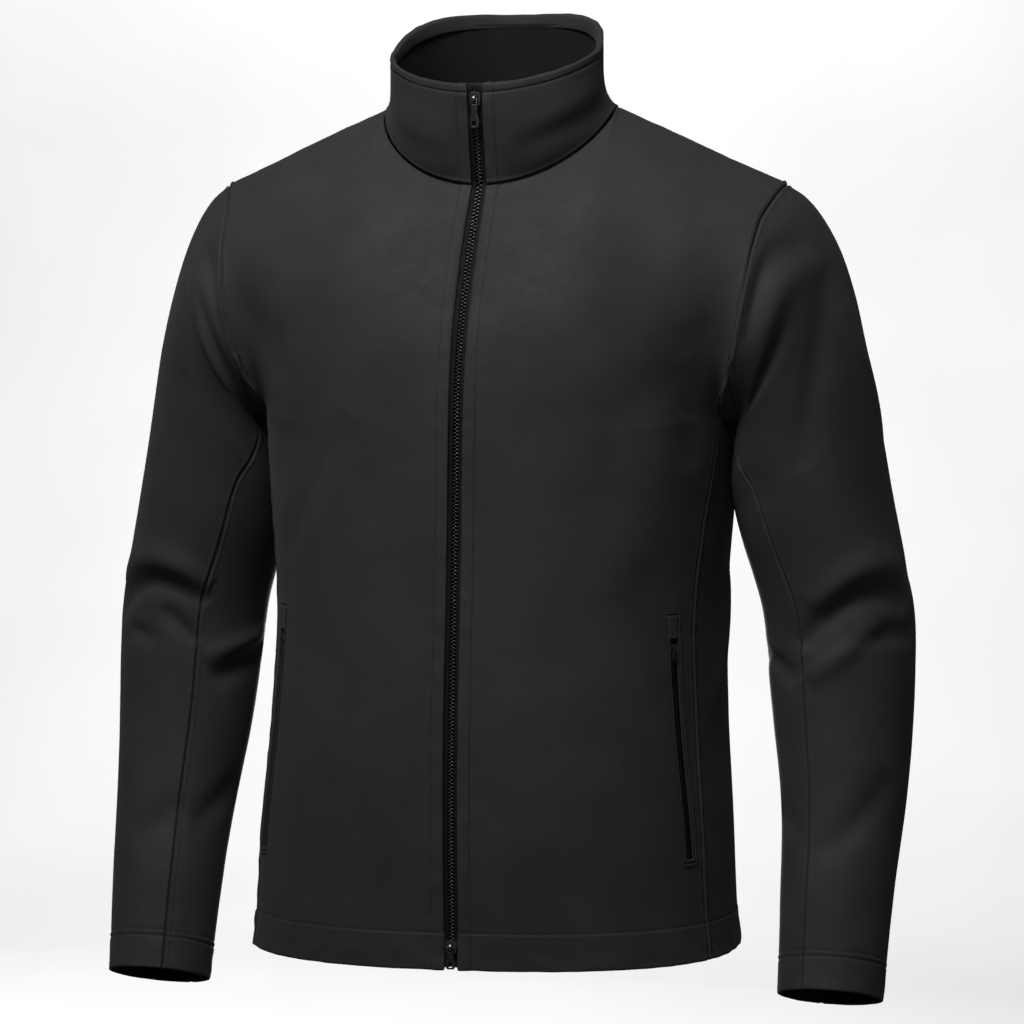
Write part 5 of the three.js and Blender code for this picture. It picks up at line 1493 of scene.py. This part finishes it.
@dataclass
class MainZip:
    """The front zip: tapes, teeth and the web between them, set behind the front edges."""

    tape_near: float = 0.12
    tape_back: float = 1.6
    tape_far: float = 11.0
    tape_wall: float = 0.9
    tape_face: float = 2.3
    drop: float = 0.15
    tape_step: float = 2.5
    tape_columns: int = 26
    tape_fullness: float = 0.4
    cord: float = 0.5
    cord_place: float = 3.7
    cord_width: float = 0.7
    web_edge: float = 1.2
    web_fade: float = 1.4
    tooth_pitch: float = 2.8
    tooth_half: tuple[float, float, float] = (1.8, 0.66, 1.05)
    tooth_middle: float = 1.25
    tooth_tilt: float = 20.0
    tooth_taper: tuple[float, ...] = (0.6, 1.0, 0.85, 1.05, 0.5)
    above_foot: float = 3.5
    teeth_depth: float = 2.5
    below_rim: float = 6.0
    guard_half: float = 11.0
    guard_height: float = 38.0
    guard_depth: float = 4.3
    guard_wall: float = 1.4
    guard_below_rim: float = 0.4
    guard_cells: tuple[int, int] = (24, 28)
    line_rows: int = 190
    collar_rows: int = 30

    def __post_init__(self) -> None:
        """Work out the line of the left front edge from hem to rim, its facing and the cloth's fall."""
        rows = np.linspace(0, BODY_ROWS + YOKE_ROWS, self.line_rows)
        rise = np.linspace(0, 1, self.collar_rows)[1:]
        line, beside = (
            np.concatenate([Torso.skin(step, rows, Side.LEFT), Collar.skin(step, rise, Side.LEFT)])
            for step in (0, 1)
        )
        along = np.gradient(line, axis=0)
        out = unit(np.stack([np.zeros(len(line)), -along[:, 2], along[:, 1]], axis=-1))
        across = beside - line
        fall = -(across * out).sum(-1) / across[:, 0]
        self.line = {"y": line[:, 1], "z": line[:, 2], "out_y": out[:, 1], "out_z": out[:, 2], "fall": fall}
        self.foot, self.rim = line[0, 2], line[-1, 2]

    def at(self, name: str, z: np.ndarray) -> np.ndarray:
        """One value of the line at heights z."""
        return np.interp(z, self.line["z"], self.line[name])

    def place(self, x: np.ndarray, z: np.ndarray, depth: np.ndarray) -> np.ndarray:
        """Point x from the centre and so deep behind the cloth's face, which falls away sideways."""
        x, z, depth = np.broadcast_arrays(*(np.asarray(v, float) for v in (x, z, depth)))
        behind = depth + np.maximum(np.abs(x) - FRONT_EDGE, 0) * (self.at("fall", z) + self.drop)
        y = self.at("y", z) - self.at("out_y", z) * behind
        return np.stack([x, y, z - self.at("out_z", z) * behind], axis=-1)

    def tapes(self, wardrobe: Wardrobe) -> None:
        """Two woven tapes, each with a raised cord beside the teeth."""
        z = np.arange(self.foot + 1, self.rim - 1, self.tape_step)
        for side in Side:
            x = np.sort(np.linspace(self.tape_near, self.tape_far, self.tape_columns) * side.value)
            cord = self.cord * np.exp(-(((np.abs(x) - self.cord_place) / self.cord_width) ** 2))
            cord -= self.tape_back * (1 - ease((np.abs(x) - self.web_edge) / self.web_fade))
            grid = self.place(x[None], z[:, None], self.tape_face - cord[None])
            name = f"zip_tape_weave_{side.word}"
            obj = strip(name, grid, self.tape_wall, [wardrobe.tape], self.tape_fullness)
            dress(obj, "jacket", "zip_tape", f"zip_tape_{side.word}")

    def teeth(self, wardrobe: Wardrobe) -> None:
        """Two rows of moulded teeth, which lean up towards the middle and pass between each other."""
        tilt = math.radians(self.tooth_tilt)
        parts = []
        for side, start in ((Side.LEFT, 0.0), (Side.RIGHT, self.tooth_pitch / 2)):
            z = np.arange(self.foot + self.above_foot + start, self.rim - self.below_rim, self.tooth_pitch)
            at = self.place(side.value * self.tooth_middle, z, self.teeth_depth)
            out = np.stack([np.zeros_like(z), self.at("out_y", z), self.at("out_z", z)], axis=-1)
            up = np.stack([np.zeros_like(z), out[:, 2], -out[:, 1]], axis=-1)
            along = np.array([-side.value, 0, 0]) * math.cos(tilt) + up * math.sin(tilt)
            parts.append(beads(at, along, out, self.tooth_half, self.tooth_taper))
        obj = make_object("zip_teeth", *join(parts), [wardrobe.teeth])
        dress(obj, "jacket", "zip_chain", "zip_chain")

    def chin_tab(self, wardrobe: Wardrobe) -> None:
        """The tab behind the top of the zip, level with the rim."""
        rows, columns = self.guard_cells
        z = np.linspace(self.rim - self.guard_height, self.rim - self.guard_below_rim, rows)
        x = np.linspace(-self.guard_half, self.guard_half, columns)
        grid = self.place(x[None], z[:, None], np.full(self.guard_cells, self.guard_depth))
        obj = strip("chin_tab", grid, self.guard_wall, [wardrobe.chin], FREE_EDGE)
        dress(obj, "jacket", "lining", "chin_guard")


@dataclass
class PocketZip:
    """A hand pocket: welt with its garage, tape, and the coil that shows as two cords."""

    side: Side
    welt_half: float = 7.6
    welt_above: float = 20.0
    welt_below: float = 4.0
    welt_wall: float = 0.65
    gap: float = 0.3
    tape_half: float = 8.5
    tape_beyond: float = 6.0
    tape_face: float = 3.1
    tape_wall: float = 0.9
    chain_half: float = 2.2
    chain_front: float = 1.4
    chain_back: float = 2.8
    rib_places: tuple[float, float] = (3.1, 4.5)
    rib_heights: tuple[float, float] = (0.45, 0.3)
    rib_widths: tuple[float, float] = (0.45, 0.4)
    tape_columns: int = 52
    tape_step: float = 2.5
    chain_columns: int = 25
    chain_step: float = 1.0
    coil_pitch: float = 2.0
    coil_ripple: float = 0.06
    coil_round: float = 0.9
    coil_overlap: float = 0.05
    turn_step: float = 0.02
    rise_step: float = 3.0
    welt_edge: Sewing = Sewing(rows=(1.5,), groove=0.0, ridge=0.0, pucker=0.1, open=True)
    slot_edge: Sewing = Sewing(groove=0.0, ridge=0.0, pucker=0.0, open=True)

    def place(self, across: np.ndarray, z: np.ndarray, depth: np.ndarray) -> np.ndarray:
        """Point so far across from the pocket's middle line, at a height and a depth behind the face."""
        across, z, depth = np.broadcast_arrays(*(np.asarray(v, float) for v in (across, z, depth)))
        middle = np.radians(lerp(POCKET["angle_bottom"], POCKET["angle_top"], pocket_share_up(z)))
        angle = middle + across / POCKET_RADIUS
        level = Torso.tube(angle + self.turn_step, z) - Torso.tube(angle - self.turn_step, z)
        up = Torso.tube(angle, z + self.rise_step) - Torso.tube(angle, z - self.rise_step)
        p = Torso.tube(angle, z) - unit(np.cross(level, up)) * depth[..., None]
        return on_side(p, z, self.side)

    def grid(self, across: np.ndarray, z: np.ndarray, depth: np.ndarray) -> np.ndarray:
        """Grid of the pocket with rows up and columns so that it faces outward."""
        grid = self.place(across[None], z[:, None], depth)
        return grid if self.side is Side.LEFT else grid[:, ::-1]

    def welt(self, wardrobe: Wardrobe) -> None:
        """The frame stitched round the slot, whose top covers the slider as a garage."""
        low, high = POCKET["z_bottom"], POCKET["z_top"]
        half = POCKET["half"]
        across = stations((-self.welt_half, -half, half, self.welt_half), 0.5, 1.2, 2.0)
        z = stations((low - self.welt_below, low, high, high + self.welt_above), 0.6, 3.0, 6.0)
        base = self.grid(across, z, np.full((len(z), len(across)), -self.gap - self.welt_wall))
        left, right = (nearest_index(across, edge) for edge in (-half, half))
        foot, head = (nearest_index(z, edge) for edge in (low, high))
        top, last = len(z) - 1, len(across) - 1
        if self.side is Side.RIGHT:
            left, right = last - right, last - left
        keep = np.ones((top, last), bool)
        keep[foot:head, left:right] = False
        edges = [
            *around((0, last), (0, top), 1, self.welt_edge),
            *around((left, right), (foot, head), -1, self.slot_edge),
        ]
        word = self.side.word
        level = np.zeros(base.shape[:2])
        panel = Panel(
            f"pocket_welt_cloth_{word}", f"pocket_welt_{word}", base, 1, level, edges, keep,
            wall=self.welt_wall)
        panel.build(wardrobe, "jacket", "cloth", [f"front_cloth_{word}"])

    def tape(self, wardrobe: Wardrobe) -> None:
        """The tape behind the slot, with two raised ribs on either side of the coil."""
        low, high = POCKET["z_bottom"] - self.tape_beyond, POCKET["z_top"] + self.tape_beyond
        across = np.linspace(-self.tape_half, self.tape_half, self.tape_columns)
        z = np.arange(low, high, self.tape_step)
        ribs = sum(
            height * np.exp(-(((np.abs(across) - place) / width) ** 2))
            for place, height, width in zip(self.rib_places, self.rib_heights, self.rib_widths)
        )
        grid = self.grid(across, z, self.tape_face - np.broadcast_to(ribs, (len(z), len(across))))
        obj = strip(f"pocket_tape_weave_{self.side.word}", grid, self.tape_wall, [wardrobe.tape], 0.3)
        dress(obj, "jacket", "zip_tape", f"pocket_tape_{self.side.word}")

    def chain(self, wardrobe: Wardrobe) -> None:
        """The coil behind its tape: two round cords with a line between them."""
        across = np.linspace(-self.chain_half, self.chain_half, self.chain_columns)
        z = np.arange(POCKET["z_bottom"] + 1, POCKET["z_top"] - 1, self.chain_step)
        half = self.chain_half / 2
        round_off = 1 - np.sqrt(np.clip(1 - ((np.abs(across) - half) / half) ** 2, 0, 1))
        ripple = self.coil_ripple * np.cos(2 * math.pi * z / self.coil_pitch)
        depth = self.chain_front + self.coil_round * round_off[None] + ripple[:, None]
        grid = self.grid(across, z, depth)
        wall = self.chain_back - depth + self.coil_overlap
        if self.side is Side.RIGHT:
            wall = wall[:, ::-1]
        obj = strip(f"pocket_coil_{self.side.word}", grid, wall, [wardrobe.tape], 0.2)
        dress(obj, "jacket", "zip_chain", f"pocket_chain_{self.side.word}")


@dataclass
class MetalWork:
    """Sliders and their hanging pulls, with the edges of the castings rounded."""

    bevel: float = 0.28
    small: float = 0.68
    merge_m: float = 1e-6
    flat_degrees: float = 2.0
    corner_degrees: float = 25.0
    segments: int = 3

    def casting(self, node: str, body: str, scale: float, finish: bpy.types.Material) -> None:
        """A copy of a solid with its flat faces merged and its edges rounded by a bevel."""
        source = bpy.data.objects[node]
        mesh = bmesh.new()
        mesh.from_mesh(source.data)
        bmesh.ops.remove_doubles(mesh, verts=mesh.verts, dist=self.merge_m)
        flat = math.radians(self.flat_degrees)
        bmesh.ops.dissolve_limit(mesh, angle_limit=flat, verts=mesh.verts, edges=mesh.edges)
        data = bpy.data.meshes.new(f"{node}_casting")
        mesh.to_mesh(data)
        mesh.free()
        data.materials.clear()
        data.materials.append(finish)
        for face in data.polygons:
            face.use_smooth = True
        obj = add_object(f"{node}_casting", data)
        rounding = obj.modifiers.new("rounding", "BEVEL")
        rounding.width, rounding.segments = self.bevel * scale * MM, self.segments
        rounding.limit_method, rounding.angle_limit = "ANGLE", math.radians(self.corner_degrees)
        rounding.harden_normals = True
        dress(obj, body, "zip_metal", node)

    def build(self, wardrobe: Wardrobe) -> None:
        """All four sliders and pulls."""
        scales = {"zip_top": 1.0, "zip_bottom": 1.0, "pocket_left": self.small, "pocket_right": self.small}
        for name, scale in scales.items():
            self.casting(f"{name}_slider", "jacket", scale, wardrobe.enamel)
            self.casting(f"{name}_pull", f"{name}_pull", scale, wardrobe.metal)


class Studio:
    """Camera, lights, pale floor and backdrop."""

    AZIMUTH = 14.0
    ELEVATION = 4.5
    DISTANCE = 3000.0
    HALF_FIELD = 0.1365
    TARGET = (9.6, -322.0)
    SENSOR = 36.0
    FLOOR_Z = -1150.0
    SWEEP = {"radius": 1200.0, "front": -5000.0, "back": 2200.0, "top": 3000.0, "half": 6000.0}
    WORLD_COLOUR = (0.95, 0.95, 0.96, 1)
    WORLD_STRENGTH = 0.09

    def camera(self) -> None:
        """Stand the camera where the photograph's was: above level and towards the wearer's left."""
        a, e = math.radians(self.AZIMUTH), math.radians(self.ELEVATION)
        aside, z = self.TARGET
        target = Vector((aside * math.cos(a), aside * math.sin(a), z))
        way = Vector((math.sin(a) * math.cos(e), -math.cos(a) * math.cos(e), math.sin(e)))
        data = bpy.data.cameras.new("camera")
        data.sensor_width, data.lens = self.SENSOR, self.SENSOR / 2 / self.HALF_FIELD
        data.clip_end = 50.0
        camera = add_object("camera", data)
        camera.location = (target + way * self.DISTANCE) * MM
        camera.rotation_euler = (-way).to_track_quat("-Z", "Y").to_euler()
        bpy.context.scene.camera = camera

    def light(self, name: str, place: tuple, aim: tuple, size: float, power: float) -> None:
        """A square soft light at a place, aimed at a point, all in metres."""
        data = bpy.data.lights.new(name, "AREA")
        data.shape, data.size, data.energy = "SQUARE", size, power
        lamp = add_object(name, data)
        lamp.location = place
        lamp.rotation_euler = (Vector(aim) - Vector(place)).to_track_quat("-Z", "Y").to_euler()

    def lights(self) -> None:
        """Broad light from above in front, weak ones from the side and behind, one for the backdrop."""
        self.light("top_light", (-0.2, -1.25, 1.5), (0, 0, -0.3), 0.9, 54)
        self.light("side_light", (0.9, -2.4, 0.4), (0, 0, -0.4), 1.0, 6)
        self.light("back_light", (-0.4, 1.6, -0.45), (0, 0.1, -0.3), 0.4, 12)
        self.light("backdrop_light", (-0.85, 1.1, 1.15), (-0.85, 3.4, -0.3), 2.4, 80)
        bpy.context.scene.view_settings.view_transform = "Standard"
        world = bpy.data.worlds.new("surround")
        world.use_nodes = True
        background = world.node_tree.nodes["Background"]
        background.inputs["Color"].default_value = self.WORLD_COLOUR
        background.inputs["Strength"].default_value = self.WORLD_STRENGTH
        bpy.context.scene.world = world

    def backdrop(self) -> None:
        """Floor that sweeps up into a wall: level, then a quarter circle, then upright."""
        radius, front, back, top, half = self.SWEEP.values()
        angles = np.linspace(0, math.pi / 2, 24)
        y = np.concatenate([[front], back + radius * np.sin(angles), [back + radius]])
        z = np.concatenate([[0], radius * (1 - np.cos(angles)), [radius + top]]) + self.FLOOR_Z
        x = np.linspace(-half, half, 9)
        grid = np.stack(np.broadcast_arrays(x[None], y[:, None], z[:, None]), axis=-1)
        quads = grid_quads(*grid.shape[:2]).reshape(-1, 4)
        recipe = Recipe("pale_floor")
        recipe.join(recipe.shade(recipe.noise(3, 2), (0.86, 0.86, 0.865), (0.9, 0.9, 0.9)), "Base Color")
        recipe.set(Roughness=0.9, Specular_IOR_Level=0.1)
        floor = make_object("pale_floor", grid.reshape(-1, 3), quads, [recipe.material])
        floor.visible_diffuse = floor.visible_glossy = False


def main() -> None:
    """Build the jacket's looks on its frame, piece by piece, then the studio."""
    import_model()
    wardrobe = Wardrobe()
    body, arms, collar = Body(), Arms(), CollarWork()
    for side in Side:
        body.front(side).build(wardrobe, "jacket", "cloth", ["collar_cloth", "back_cloth"])
    body.back().build(wardrobe, "jacket", "cloth", ["collar_cloth"])
    for side in Side:
        for upper in (True, False):
            rests_on = [f"front_cloth_{side.word}", "back_cloth"]
            arms.panel(side, upper).build(wardrobe, "jacket", "cloth", rests_on)
    collar.outer().build(wardrobe, "jacket", "cloth", ["back_cloth"])
    linings = [wardrobe.lining] * 2
    collar.lining().build(wardrobe, "jacket", "lining", ["collar_cloth"], linings)
    main_zip = MainZip()
    main_zip.tapes(wardrobe)
    main_zip.teeth(wardrobe)
    main_zip.chin_tab(wardrobe)
    for side in Side:
        pocket = PocketZip(side)
        pocket.welt(wardrobe)
        pocket.tape(wardrobe)
        pocket.chain(wardrobe)
    MetalWork().build(wardrobe)
    studio = Studio()
    studio.camera()
    studio.lights()
    studio.backdrop()


if __name__ == "__main__":
    logging.basicConfig(level=logging.INFO, format="%(message)s")
    main()
